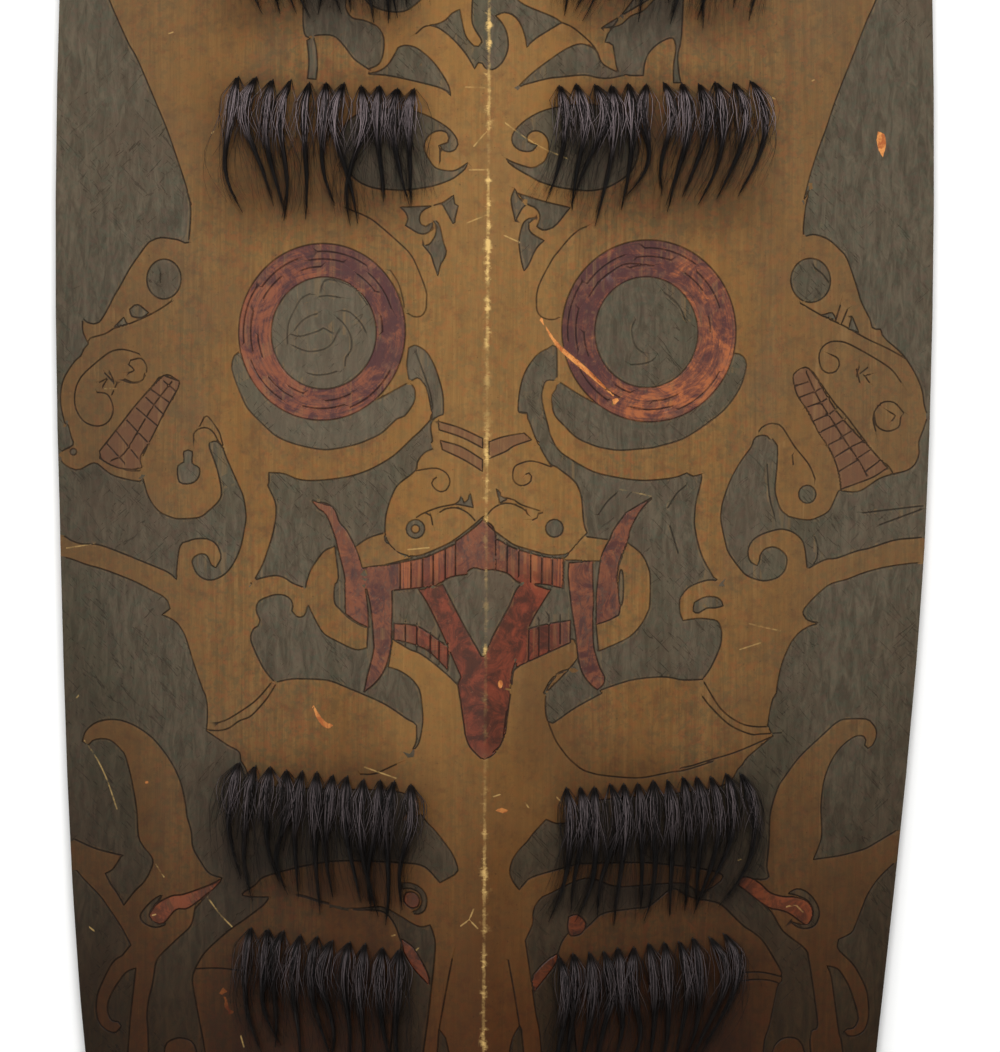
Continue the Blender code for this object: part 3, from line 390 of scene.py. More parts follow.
line 194.9,24.5 191.3,29.3 186.9,32.8 178.1,37.9 169.4,42.3 165,43.4 160.6,43.1 157.1,40.9 155.3,37.4
  155.4,33.5 156.7,29.9 159.8,28.2 163.3,29.1 165,32.2 164.2,35.3 162,36.6
line 186,14.3 182.7,10.8 181.5,6.4 182.8,1.1
line -36.8,-19.9 -28.9,-18.6 -25.4,-19 -22.3,-20.7 -20.6,-23.4 -20.6,-26.4 -22.3,-29 -24.9,-29.6 -27.5,-28.2
  -28.9,-25.6 -28,-23.8 -26.7,-22.9
line 27.3,-17.6 21.2,-15.5 16.8,-15 12.5,-16.3 10.3,-17.6 9.4,-20 9.4,-23.3 10.7,-25.5 13.3,-26.6 15.9,-26
  17.9,-24.2 18.1,-22 16.8,-20.6 15.5,-21.2
line -186.9,-12.2 -178.6,-18.3 -174.3,-20.1 -169,-20.3
line 130.4,-15.5 131.2,-26.8 132.1,-33 133.9,-39
line -81.8,67.3 -80.9,69.5 -78.7,70.6 -74.3,69.9 -70.4,68.6 -66.4,66.4 -62.9,62.9 -59.9,58.6
line -83,62.5 -78.7,62.9 -73,62
line -72,55.9 -68.2,55 -62.9,49.8 -60.5,45.4
line -74.3,52.4 -71.7,50.2 -69.5,47.2 -67.8,43.7 -67.3,40.2 -67.8,36.7 -70,33.6 -70.4,29.7
line -97.9,40.2 -98.1,44.6 -97.5,49.8 -96.2,53.3 -91.8,61.2 -87.4,63.8
line -94,47.6 -90.9,51.1 -87.4,53.3 -83.9,54.4
line -95.8,44.6 -91.8,43.7 -83,46.3 -80.9,47.6 -77.8,45.9
line -95.3,39.3 -91.8,37.6 -87.4,36.5 -82.2,37.1 -78.7,38.5 -76.1,41.1 -74.3,45
line -88.3,26.2 -83.9,25.3 -78.7,25.8 -74.3,27.1
line 67,52.4 65.3,48 66.2,41.9 67.9,38.8 71,36.6
line 64.9,31 70.1,31.4 74.5,32.7 76.7,34.5
line 80.6,65.3 85,62.2 88.5,57.9 90.6,53
line 49,69.7 55,74.5 59.4,77.5 64.7,78.9 75.2,78
line -162.4,20.7 -159.8,24.2 -157.1,24.8
line -152,16.3 -153.2,13.7
line -164.6,10.6 -160.6,8.5 -157.6,5.9
line 174.6,31.3 173.4,27
line 176.9,27.3 180,27.8
line -37.3,-43 -34,-40.5 -26.3,-37.3 -18,-35.5
line -25,-39.3 -22,-37.7 -17.6,-37.2 -13.6,-38.5 -10.6,-40.7 -8.4,-43.2
line -31,-40 -29.3,-41 -28.4,-45.2
line 58.3,-30 54,-34 50,-40
line 91.5,-26 87,-30 83,-36.5
line 84,-45 88,-58
line -142.8,-5.2 -142.8,-2.6 -140.7,-0.4 -137.6,0.4 -135,-0.4 -132.8,-2.6 -131,-6
line -139.7,1.5 -136.6,5.9 -131,-1 -129.5,-5 -128,-11
line -171.2,-3 -173.4,-7.9 -173.4,-13.1
line -163.4,-2.6 -164.7,-7 -167.3,-13.1
line 153.6,-50 155,-54 154.8,-60 152.5,-64
line 126.4,0.2 127.7,1.9 131.2,3.7 134.7,3.7 137.8,1.9 143.5,-6.8 150.5,-15.4 153.6,-22.3
line 142.6,-11 143,-15.5
line 160.2,-5.7 171.6,1.4
line 162.8,-13.5 175.6,-3.8
line 172.5,-13 180.4,-7.2
line 169,-23.5 177.7,-19.4 185.2,-14.6
line 6.5,-32.5 10,-33.4 13.5,-35.6 21.4,-38.2
line -3,-41 0,-37.5 4,-35.3 8.2,-35 12.6,-36.6 15.7,-38.5 16.2,-39.8
line 23.5,-39.2 21.4,-40 20.9,-41.7 19.1,-42.6
line 165.3,60.6 163.2,53.6
line 168.8,58.8 165.8,51.5
line 152.7,78.5 156.6,75.4 159.3,72
line 145.5,24.7 149.5,22.1 158.4,9.8 162,4.6
line 165,-1.7 169,-7.3 174.2,-13 177.7,-19.4
line 143.4,22.9 144.7,19.4 146.9,15.9 148.7,11.5 153.2,3.6 155.9,0.1
line 153.2,4.8 154.9,0.5 158.4,-4.8 163.7,-15.2 166.3,-27.8!
line 143.4,22.9 144.2,27.3 146.4,29.9 148.6,30.8 152.2,28.6 159.3,18.6 163.7,12.9 168.2,8.2 172.6,2.5
line 172.6,2.5 180.4,-7.4 184.7,-12.2 189.1,-16 191.8,-19.9!
line -130,-140 -125,-138 -115,-131.5 -110,-127 -105,-121
line -136,-143.5 -130,-143.8 -125,-142.5 -120,-139 -115,-137 -110,-132 -106,-127 -103,-122
line 132,-140.5 126,-140.5 120,-139.5 115,-137 111,-134 107,-129.5 100,-118
line 138,-143.5 128,-144 123,-144 113,-139.5 104,-131 100,-126
line 134,-145! 125,-149 115,-153 103,-156.5 95,-159 90,-160
line 27,-139 30.5,-147 35.5,-154 39,-157.5 43,-160.5 47,-162 52,-163.2 65,-164.5 73,-164.3 85,-162 92,-161
  105,-157
line -45,-158.5 -55,-163 -62,-163.5
line -85.5,-33.9 -78.5,-36.2
line -36.3,34.5 -32.8,25.4 -30.6,19.2 -29.3,14 -28.8,9.6 -29.7,4.4
line 8.5,-250 11.5,-266 14,-281
line -18,-250 -21,-266 -24,-283
line 120,-257.5 128,-257.5 134,-258.5 139,-260
line 120,-261.5 126,-261 133,-261.5 138,-263
line -140,-257.5 -130,-257 -118,-257.8
line 7,-133 5,-147 1,-152
line 185,-44.1 208.7,-35.3
line 176.9,-38.4 207.8,-34.6
line -48.6,-33.7 -49.9,-38 -50.8,-43.2 -50.9,-48.5 -49.9,-52.8 -47.7,-55.8 -44.6,-58.3 -40.3,-59.8 -35.9,-60
  -31.5,-58.8 -22.8,-55 -18.4,-52.5 -10.5,-46.5 -4.4,-41.2!
line -4.8,-42.1! -0.4,-46.9 6.5,-52.1 10.9,-54.8 19.6,-57.4 24,-58.7 28.4,-59.3 32.7,-59 36.2,-57.9
  41.5,-51.8 44.5,-48.7!
stain teeth_head_left -157.5,25.2! -169.1,13.3 -178.7,1.3 -188.4,-10.9! -187.2,-15 -181,-18.3 -172.8,-19.7
  -167.9,-18.6! -168.4,-13.4 -163.2,-4.5 -157.2,7.4 -150.5,19.3 -150.1,22.6!
stain teeth_head_right 147.2,30.5 144,28.5 142.7,25.7 144.8,17.5 150.3,9.6 155.1,0.1 161.4,-9.4 165.4,-20.4
  166.2,-27.1! 174.1,-24.3 182,-21.1 188.7,-16.8! 178.8,-6.1 170.9,1.8 163,11.2 155.1,23.9 150.3,30.2
line -150.1,22.6 -157.5,25.2 -169.1,13.3 -178.7,1.3 -188.4,-10.9
line -153.5,22.3 -161.7,11.8 -169.1,-0.1 -176.5,-12 -182.5,-15.3
line -150.5,19.3 -157.2,7.4 -163.2,-4.5 -168.4,-13.4 -167.9,-18.6
line -163.5,18.5 -155,12.6
line -166.1,14.8 -157.5,6.7
line -170.6,9.6 -160.6,1.4
line -175,3.6 -164.3,-7.5
line -180.2,-1.6 -169.8,-14.2
line -184.7,-7.6 -176.2,-16.7
line -157.2,22.3 -151.6,17.8
line -188.4,-14.3 -181,-18.3 -172.8,-19.7 -167.9,-18.6
line -173.6,32.5 -168.4,33.3 -165.7,28.9 -167.3,23.7 -171.8,21.9 -176.5,23.6
line -174.3,30.3 -171.8,27.8 -174.3,26.6
line -188.4,22.1 -185.1,23.6 -186.9,20.3
line -183.9,27.3 -181.7,22.1 -186.2,26.5
line -180.2,21.4 -182.5,16.2
line -159.3,74.2 -159.3,69.7
line -159.5,72 -159.3,69.7
line 143.7,21.9 149.7,23.8
line 146.4,16.7 152.7,19.1
line 148.4,11.5 155.4,14
line 152.7,5.2 159.4,8.4
line 155.4,-0.2 162.5,3.3
line 159,-6.5 165.9,-3
line 162.5,-12.2 169.7,-7.7
line 165.4,-18.5 174.1,-13.2
line 152.6,18.8 157,21.5
line 155.4,13.6 160.2,16.8
line 159.4,8 163.6,11.2
line 162.5,3 168.1,6.5
line 165.9,-2.4 172,1.1
line 169.7,-7.4 176,-4.5
line 173.6,-12.5 180.7,-8
line 177.6,-18.8 185.5,-13
line 149.1,28.3 155.1,15.9 162.2,4.9 168.5,-4.6 174.1,-12.5 178.2,-19.6
line 182,9.8 185.2,14.2 191.5,14.6 196.3,9.8
line 182,9.8 183.3,3.4 188.3,0.8 193.9,2.7 195,7.5
line 189.9,9.8 192.3,8.2 190.7,5.8
line 173.3,30.3 174.9,24
line 175.7,28.7 178.8,31.1
line 177.3,27.1 179.6,24
line -25.9,133.6 -25.9,126.2
pale 1,-173 4,-172
pale 16,-176 17.5,-178
pale 31,-173.5 32.5,-175
pale -206,-57.6 -191,-55.3
pale -195,-149.5 -189,-158 -184,-168 -179,-182
pale -12,122 -1,122
pale 5,144 12,139 22,133 34,128
pale -14,161 -5,160.5
pale -10,133 -4,140
pale -13,97 -3,101
pale 5,91 12,88
pale -40,-57 -30,-56
pale 60,-28 75,-31
pale -60,-160 -45,-165
pale 122.5,-91.5 137.4,-94.8
pale 118.1,-103.6 127.7,-100.5
pale -135,-223 -129,-231 -123,-237
pale -10,-231 -8,-226
pale -10,-231 -14,-234
pale -10,-231 -6,-235
pale -186,19 -180,19
pale -160,-208 -156,-214
pale -118.5,-289 -117,-294
pale -155.5,188.5 -154,189
pale -135,140.5 -134,141.5
pale 151,167.5 152,168
pale 132,159 133,158.5
pale -199,-129 -198,-128
pale -192,-239 -190,-240.5
pale 117.5,-204 119,-203.5
pale -46.5,-239.5 -45,-239
pale -35,-246 -34,-245
pale -161.5,-232.5 -160,-232
pale 141,-226.5 142.5,-226
pale 146,-226 149,-229
"""


def half_width(y):
    """Half the board's width at y: widest at WIDEST_Y, and narrower by the square of the distance."""
    bend = (WIDTH - LOW_SHOULDER_WIDTH) / 2 / (SHOULDER_Y + WIDEST_Y) ** 2
    return WIDTH / 2 - bend * (y - WIDEST_Y) ** 2


def front_height(x, y):
    """The front's height: RIDGE_HEIGHT at the ridge, falling straight to RIM_THICKNESS at the rim."""
    level = np.clip(y, -SHOULDER_Y, SHOULDER_Y)
    side = np.where(x < RIDGE_X, -1.0, 1.0)
    slope_width = half_width(level) - side * RIDGE_X
    return RIDGE_HEIGHT - np.abs(x - RIDGE_X) / slope_width * (RIDGE_HEIGHT - RIM_THICKNESS)


def lean(x, y):
    """How far the outline is off the even one: its lower end leans to the left, and the ridge stays."""
    share = np.clip((LEAN_TOP - y) / LEAN_LENGTH, 0, 1)
    return -LEAN * share * share * (3 - 2 * share) * np.clip(np.abs(x - RIDGE_X) / LEAN_WIDTH, 0, 1)


def carved_height(x, y):
    """The front's height on the leaning outline."""
    return front_height(x - lean(x, y), y)


def linear(red, green, blue):
    """A colour given as it looks on a screen, 0 to 255, as linear light."""
    return [((c / 255 + 0.055) / 1.055) ** 2.4 for c in (red, green, blue)] + [1.0]


class Term:
    """A number in a material's node tree, which ordinary arithmetic joins to other numbers."""

    def __init__(self, shade, socket):
        self.shade = shade
        self.socket = socket

    def math(self, operation, *others):
        made = self.shade.node("ShaderNodeMath", dict(enumerate((self, *others))), operation=operation)
        return Term(self.shade, made.outputs[0])

    def __add__(self, other):
        return self.math("ADD", other)

    def __sub__(self, other):
        return self.math("SUBTRACT", other)

    def __mul__(self, other):
        return self.math("MULTIPLY", other)

    def __truediv__(self, other):
        return self.math("DIVIDE", other)

    def __rsub__(self, other):
        return (-self).math("ADD", other)

    def __pow__(self, other):
        return self.math("POWER", other)

    def __neg__(self):
        return self.math("MULTIPLY", -1.0)

    __radd__ = __add__
    __rmul__ = __mul__

    def over(self, low, high):
        """0 below low, 1 above high, and a smooth step between."""
        inputs = {"Value": self, "From Min": low, "From Max": high}
        made = self.shade.node("ShaderNodeMapRange", inputs, interpolation_type="SMOOTHSTEP")
        return Term(self.shade, made.outputs["Result"])


class Shade:
    """A material's node tree. Every node but the sums is made by one method."""

    def __init__(self, name):
        self.material = bpy.data.materials.new(name)
        self.material.use_nodes = True
        self.tree = self.material.node_tree
        self.tree.nodes.clear()
        self.place = self.node("ShaderNodeTexCoord").outputs["Object"]
        self.surface = self.node("ShaderNodeBsdfPrincipled")
        self.node("ShaderNodeOutputMaterial", {"Surface": self.surface.outputs[0]})

    def node(self, kind, inputs=None, **settings):
        made = self.tree.nodes.new(kind)
        for key, value in settings.items():
            setattr(made, key, value)
        for key, value in (inputs or {}).items():
            self.join(value, made.inputs[key])
        return made

    def join(self, value, socket):
        if isinstance(value, Term):
            value = value.socket
        if isinstance(value, bpy.types.NodeSocket):
            self.tree.links.new(value, socket)
        else:
            socket.default_value = value

    def attribute(self, name):
        return Term(self, self.node("ShaderNodeAttribute", attribute_name=name).outputs["Fac"])

    def plane(self):
        split = self.node("ShaderNodeSeparateXYZ", {0: self.place})
        return Term(self, split.outputs["X"]), Term(self, split.outputs["Y"])

    def stretched(self, x, y, z, place=None):
        """Object coordinates scaled along each axis, so that a pattern is long where the scale is small."""
        inputs = {0: place or self.place, 1: (x, y, z)}
        return self.node("ShaderNodeVectorMath", inputs, operation="MULTIPLY").outputs[0]

    def noise(self, scale, detail=5.0, rough=0.55, place=None, distort=0.0):
        inputs = {
            "Vector": place or self.place,
            "Scale": scale,
            "Detail": detail,
            "Roughness": rough,
            "Distortion": distort,
        }
        return Term(self, self.node("ShaderNodeTexNoise", inputs).outputs["Fac"])

    def mix(self, share, first, second, blend="MIX"):
        made = self.node("ShaderNodeMix", {0: share, 6: first, 7: second}, data_type="RGBA", blend_type=blend)
        return made.outputs[2]

    def layered(self, colour, *layers):
        """The colour with each layer's colour, as it looks on a screen, laid over it in turn by its share."""
        for share, shown in layers:
            colour = self.mix(share, colour, linear(*shown))
        return colour

    def round_streaks(self, x, y, centre, lean_x, lean_y):
        """Brush streaks round a centre, noise(radius, angle), a tone, lean . (x, y) / radius, and where both
        reach."""
        dx = x - centre[0]
        dy = y - centre[1]
        radius = (dx * dx + dy * dy) ** 0.5
        angle = dy.math("ARCTAN2", dx)
        place = self.node("ShaderNodeCombineXYZ", {0: radius * 640.0, 1: angle * 1.6, 2: centre[0] * 50})
        streaks = self.noise(1.0, 5.0, 0.72, place.outputs[0], 0.8)
        tone = (dx * lean_x + dy * lean_y) / (radius + 0.001)
        return streaks, tone, 1.0 - radius.over(0.052, 0.060)

    def bump(self, height, distance, strength=1.0):
        made = self.node("ShaderNodeBump", {"Height": height, "Distance": distance, "Strength": strength})
        self.join(made.outputs[0], self.surface.inputs["Normal"])


def board_material():
    """Ochre wood with upright grain, charcoal and resin-red paint worn at its edges, and painted shade in the
    cuts.
    """
    shade = Shade("painted_board")
    dark_edge = shade.attribute("paint_dark")
    red_edge = shade.attribute("paint_red")
    bare_edge = shade.attribute("paint_bare")
    stain_edge = shade.attribute("paint_stain")
    groove = shade.attribute("groove")
    scratch = shade.attribute("scratch")
    back = shade.attribute("back")
    ridge = shade.attribute("ridge")
    x, y = shade.plane()
    aside = (x - RIDGE_X).math("ABSOLUTE")

    # Painted shade and soot under the hair locks, a darkening along the left rim, and painted shade on the
    # lower end
    hair_shade_soot_and_left_rim = 0.0
    for middle in HAIR_MIDDLES:
        near = 1.0 - (y - middle).math("ABSOLUTE").over(0.018, 0.052)
        hair_shade_soot_and_left_rim = near + hair_shade_soot_and_left_rim
    hair_shade_soot_and_left_rim = hair_shade_soot_and_left_rim * aside.over(0.018, 0.050) * (1.0 - aside.over(0.112, 0.150))
    hair_shade_soot_and_left_rim = hair_shade_soot_and_left_rim + (0.0 - x).over(0.13, 0.21) * y.over(0.14, -0.02) * 0.4

    # Patterns: grain and brush strokes run up the board, and the others are even
    grain = shade.noise(1.0, 8.0, 0.66, shade.stretched(380, 15, 380), 0.9)
    fine_grain = shade.noise(1.0, 4.0, 0.7, shade.stretched(1500, 60, 1500))
    broad = shade.noise(1.0, 4.0, 0.6, shade.stretched(22, 8, 22))
    mottle = shade.noise(110.0, 7.0, 0.72)
    blotch = shade.noise(26.0, 5.0, 0.62)
    patch = shade.noise(85.0, 7.0, 0.74, distort=1.1)
    speck = shade.noise(700.0, 3.0, 0.6)
    warm = shade.noise(240.0, 4.0, 0.6)
    cool = shade.noise(310.0, 4.0, 0.6, distort=0.4)
    left_round, left_tone, left_near = shade.round_streaks(x, y, LEFT_STREAKS, 0.13, 0.05)
    right_round, right_tone, right_near = shade.round_streaks(x, y, RIGHT_STREAKS, -0.10, 0.09)
    round_near = left_near + right_near
    ring_tone = left_tone * left_near + right_tone * right_near
    ring_streaks = left_round * left_near + right_round * right_near
    fray = (shade.noise(420.0, 5.0, 0.7) - 0.5) * 1.1
    # Painted shade: the colour darkens towards the lower end of the board
    lower_end_shade = (broad * 0.10 - 0.05 - y).over(0.05, 0.31)

    # Bare wood, with painted light beside the tongue on its left and painted shade beside it on its right
    lip = (1.0 - aside.over(0.040, 0.060)) * (1.0 - (y - LIP_Y).math("ABSOLUTE").over(0.020, 0.060))
    wood = shade.layered(
        shade.mix(grain.over(0.30, 0.72), linear(96, 68, 36), linear(128, 94, 53)),
        (fine_grain.over(0.35, 0.75) * 0.34, (138, 104, 60)),
        (warm.over(0.46, 0.64) * 0.55, (126, 74, 42)),
        (cool.over(0.46, 0.64) * 0.55, (84, 76, 48)),
        (broad.over(0.42, 0.68) * 0.50, (126, 86, 38)),
        (mottle.over(0.44, 0.66) * 0.36, (82, 60, 37)),
        (blotch.over(0.50, 0.72) * 0.45, (92, 72, 50)),
        (aside.over(0.08, 0.19) * 0.5, (88, 68, 46)),
        ((1.0 - aside.over(0.02, 0.06)) * (blotch * 0.5 + 0.05), (144, 104, 52)),
        (mottle.over(0.48, 0.66) * warm.over(0.40, 0.60) * 0.20, (70, 50, 34)),
        # Painted light left of the tongue, then painted shade right of it
        (lip * x.over(-0.012, -0.024) * 0.25, (152, 110, 56)),
        (lip * x.over(0.006, 0.018) * 0.40, (70, 46, 30)),
        (speck.over(0.64, 0.76) * 0.45, (48, 34, 20)),
    )

    # Charcoal paint, with brush strokes and two ways of fine scores
    rotation = shade.node("ShaderNodeVectorRotate", {0: shade.place, "Angle": 0.8}, rotation_type="Z_AXIS")
    turned = rotation.outputs[0]
    scores = shade.noise(1.0, 3.0, 0.6, shade.stretched(70, 640, 200, turned), 1.5)
    hatches = shade.noise(1.0, 3.0, 0.6, shade.stretched(560, 60, 200, turned), 1.5)
    strokes = shade.noise(1.0, 5.0, 0.7, shade.stretched(270, 66, 270), 0.7)
    score_marks = scores.over(0.60, 0.68) * broad.over(0.40, 0.60)
    marks = score_marks + hatches.over(0.62, 0.70) * blotch.over(0.42, 0.62)
    paint = shade.layered(
        shade.mix(strokes.over(0.32, 0.70), linear(60, 54, 43), linear(90, 81, 66)),
        (warm.over(0.50, 0.66) * 0.35, (84, 66, 56)),
        (cool.over(0.48, 0.66) * 0.40, (66, 72, 58)),
        (blotch.over(0.45, 0.70) * 0.5, (78, 64, 50)),
        (broad.over(0.5, 0.7) * 0.4, (64, 64, 48)),
        (ring_streaks.over(0.40, 0.62) * round_near * 0.25, (58, 54, 44)),
        (ring_streaks.over(0.64, 0.72) * round_near * 0.5, (36, 31, 24)),
        (left_near * 0.15, (120, 110, 92)),
        (marks * 0.62, (34, 29, 22)),
        (mottle.over(0.60, 0.78) * 0.5, (102, 86, 62)),
    )

    # Resin-red paint: patchy round the eyes, streaked on the teeth, glossy dark on the tongue
    ring_shade = ring_tone + patch * 1.5 + ring_streaks * 0.5 - 0.5
    ring = shade.layered(
        shade.mix(ring_shade.over(0.34, 0.60), linear(120, 68, 50), linear(70, 40, 44)),
        ((1.0 - ring_shade.over(0.24, 0.40)) * (right_near * 0.42 + 0.08), (190, 108, 58)),
        (ring_streaks.over(0.46, 0.62) * 0.45, (62, 44, 46)),
        (ring_streaks.over(0.60, 0.66) * 0.6, (40, 30, 32)),
        (mottle.over(0.52, 0.66) * 0.4, (118, 82, 64)),
    )
    mouth = 1.0 - (y - MOUTH_Y).math("ABSOLUTE").over(0.012, 0.020)
    teeth = mouth * aside.over(0.012, 0.024) * (1.0 - aside.over(0.038, 0.043))
    tongue = (1.0 - aside.over(0.028, 0.040)) * (1.0 - (y - TONGUE_Y).math("ABSOLUTE").over(0.036, 0.050))
    tongue_colour = shade.mix(patch.over(0.40, 0.64), linear(54, 25, 24), linear(122, 54, 37))
    ribbon = 1.0 - y.over(RIBBON_TOP - 0.015, RIBBON_TOP)
    resin = shade.layered(
        shade.mix(patch.over(0.42, 0.58), linear(118, 68, 48), linear(70, 40, 40)),
        (mottle.over(0.42, 0.62) * 0.6, (98, 60, 46)),
        (strokes.over(0.52, 0.66) * 0.75, (56, 42, 44)),
        (broad.over(0.50, 0.64) * 0.4, (132, 78, 48)),
        (cool.over(0.52, 0.66) * 0.45, (80, 64, 56)),
        (teeth * grain.over(0.42, 0.58) * 0.65, (160, 86, 50)),
    )
    resin = shade.mix(tongue * 0.88, resin, tongue_colour)
    resin = shade.mix(ribbon * patch.over(0.44, 0.58) * 0.6, resin, linear(186, 104, 66))
    resin = shade.mix(round_near.math("MINIMUM", 1.0) * 0.9, resin, ring)
    resin = shade.mix(speck.over(0.64, 0.76) * 0.4, resin, linear(156, 104, 76))

    # How much of each finish shows: the paint's edges fray, the ridge is worn, and the cuts get painted shade
    worn = shade.noise(95.0, 7.0, 0.72, distort=0.5)
    dark = (dark_edge + fray).over(-0.22, 0.30) * (1.0 - worn.over(0.66, 0.76) * 0.55)
    red = (red_edge + fray).over(-0.22, 0.30) * (1.0 - worn.over(0.68, 0.78) * 0.4)
    bare = (bare_edge + fray * 1.1).over(-0.16, 0.22)
    bare_colour = shade.mix(patch.over(0.42, 0.60), linear(222, 148, 80), linear(166, 88, 44))
    nicks = shade.noise(1.0, 5.0, 0.7, shade.stretched(90, 150, 90))
    worn_stretch = shade.noise(1.0, 2.0, 0.5, shade.stretched(1, 16, 1)).over(0.40, 0.56) * 0.75 + 0.25
    ridge_wear = (1.0 - (ridge + fray * 1.3).over(0.2, 1.1)) * nicks.over(0.36, 0.54) * worn_stretch
    ridge_chip = (1.0 - (ridge + fray * 2.0).over(0.8, 2.0)) * nicks.over(0.53, 0.60) * worn_stretch
    # Painted shade in the incised cuts, weaker in the dark paint and in the eye rings
    cut = 1.0 - (groove + fray * 0.24 - mottle * 0.15).over(0.10, 0.48)
    cut = cut * (0.86 - dark * 0.22 - round_near * 0.18)
    # A painted highlight along both edges of each cut
    cut_edge_highlight = groove.over(0.35, 0.6) * (1.0 - groove.over(0.75, 1.15))
    pale = 1.0 - (scratch + fray * 0.3).over(0.15, 0.5)

    colour = shade.mix(dark * 0.94, wood, paint)
    colour = shade.mix(red * 0.92, colour, resin)
    # Stains, the painted highlight on the cut edges, and the painted shade in the cuts
    colour = shade.layered(
        colour,
        ((stain_edge + fray).over(-0.3, 0.5) * 0.62, (94, 62, 48)),
        (cut_edge_highlight * grain.over(0.45, 0.7) * 0.35, (134, 104, 66)),
        (cut * (0.62 + patch.over(0.35, 0.55) * 0.38), (25, 19, 14)),
    )
    colour = shade.mix(bare * 0.85, colour, bare_colour)
    # Painted shade towards the lower end, then painted shade with soot under the hair
    colour = shade.mix(lower_end_shade, colour, (0.25, 0.15, 0.06, 1.0), "MULTIPLY")
    colour = shade.mix(hair_shade_soot_and_left_rim * (blotch * 0.5 + 0.58), colour, (0.36, 0.32, 0.30, 1.0), "MULTIPLY")
    ridge_wear = (ridge_wear * 0.55 + ridge_chip * 0.70) * (y.over(-0.10, 0.10) * 0.35 + 0.65)
    ridge_wear = ridge_wear * (1.0 - red * 0.75)
    wear = (ridge_wear + pale * nicks.over(0.35, 0.6) * 0.42).math("MINIMUM", 1.0)
    colour = shade.mix(wear, colour, linear(206, 170, 104))
    plain = shade.mix(grain.over(0.3, 0.7), linear(62, 42, 27), linear(104, 74, 48))
    plain = shade.mix(blotch.over(0.45, 0.7) * 0.6, plain, linear(52, 37, 26))
    colour = shade.mix(back, colour, plain)

    roughness = 0.60 + grain * 0.14 - red * 0.22 - mottle * 0.10
    relief = grain * 0.4 + fine_grain * 0.2 + mottle * 0.35 - marks * dark * 0.8
    relief = relief + strokes * (dark + red) * 0.5
    shade.join(colour, shade.surface.inputs["Base Color"])
    shade.join(roughness, shade.surface.inputs["Roughness"])
    shade.surface.inputs["Specular IOR Level"].default_value = 0.14
    shade.bump(relief, 0.0004, 0.7)
    return shade.material


def hair_material():
    """Coarse black hair: a painted grey-mauve highlight over each lock's shoulder, and brown black below it.
    """
    shade = Shade("dark_hair")
    along = shade.attribute("along")
    strand = shade.attribute("strand")
    # Painted highlight: a grey-mauve sheen on the shoulder of the hairs that show it
    painted_sheen = along.over(0.05, 0.13) * (1.0 - along.over(0.28, 0.56)) * strand.over(0.12, 0.75)
    streak = shade.noise(1.0, 3.0, 0.6, shade.stretched(700, 60, 700))
    y = shade.plane()[1]
    # The painted highlight is fainter towards the lower end of the board
    lit = y.over(-0.32, 0.15) * 0.68 + 0.32
    colour = shade.mix(streak.over(0.4, 0.7), linear(8, 5, 4), linear(26, 17, 12))
    colour = shade.mix(painted_sheen * 0.85 * lit, colour, linear(156, 140, 142))
    shade.join(colour, shade.surface.inputs["Base Color"])
    shade.join(0.42 + streak * 0.2, shade.surface.inputs["Roughness"])
    shade.surface.inputs["Specular IOR Level"].default_value = 0.20
    shade.bump(streak, 0.0002, 0.5)
    return shade.material


def plain_material(name, colour, roughness):
    shade = Shade(name)
    tone = shade.noise(3.0, 2.0)
    shade.join(shade.mix(tone * 0.06, colour, linear(236, 236, 234)), shade.surface.inputs["Base Color"])
    shade.surface.inputs["Roughness"].default_value = roughness
    return shade.material


def curve_points(words):
    """The points that an outline's words give, and which of them are corners."""
    corners = [word.endswith("!") for word in words]
    points = np.array([[float(part) for part in word.rstrip("!").split(",")] for word in words])
    return points, corners


def sample_curve(points, corners, closed):
    """A Catmull-Rom curve through the points, sampled every LINE_STEP: on each stretch from b to c
    p(t) = (2b + (c - a) t + (2a - 5b + 4c - d) t^2 + (3b - a - 3c + d) t^3) / 2. Beside a corner, and at
    the end of an open line, the neighbour a or d is the mirror image of the other end, so that the curve
    starts out straight."""
    count = len(points)
    stretches = count if closed else count - 1
    pieces = []
    for i in range(stretches):
        b = points[i]
        c = points[(i + 1) % count]
        before = not corners[i] and (closed or i > 0)
        after = not corners[(i + 1) % count] and (closed or i + 2 < count)
        a = points[i - 1] if before else 2 * b - c
        d = points[(i + 2) % count] if after else 2 * c - b
        steps = max(1, int(round(np.linalg.norm(c - b) / LINE_STEP)))
        t = (np.arange(steps) / steps)[:, None]
        curved = (2 * a - 5 * b + 4 * c - d) * t ** 2 + (3 * b - a - 3 * c + d) * t ** 3
        pieces.append((2 * b + (c - a) * t + curved) / 2)
    if not closed:
        pieces.append(points[-1:])
    return np.concatenate(pieces)


def oval_points(centre, radii):
    """Points (cx + rx cos a, cy + ry sin a) all round an oval."""
    count = max(10, int(2 * math.pi * max(radii) / LINE_STEP))
    angle = np.arange(count) / count * 2 * math.pi
    return np.stack([centre[0] + radii[0] * np.cos(angle), centre[1] + radii[1] * np.sin(angle)], 1)


def ring_strokes(centre, inner, outer):
    """Short arcs that follow a ring, each at its own radius and angle."""
    strokes = []
    for i in range(RING_STROKES):
        share = (i * GOLDEN_SHARE) % 1
        radius = inner + (outer - inner) * (0.15 + 0.7 * share)
        start = (i * GOLDEN_SHARE * 1.7) % 1 * 2 * math.pi
        angle = start + np.linspace(0, 0.25 + 0.5 * share, 12)
        x = centre[0] + radius * np.cos(angle)
        y = centre[1] + radius * 1.04 * np.sin(angle)
        strokes.append(np.stack([x, y], 1))
    return strokes


def tooth_lines():
    """The upright cuts between the teeth, (x, top + (bottom - top) s) for s from 0 to 1."""
    share = np.linspace(0, 1, 8)
    return [np.stack([np.full(8, x), top + (bottom - top) * share], 1) for x, top, bottom in TEETH]


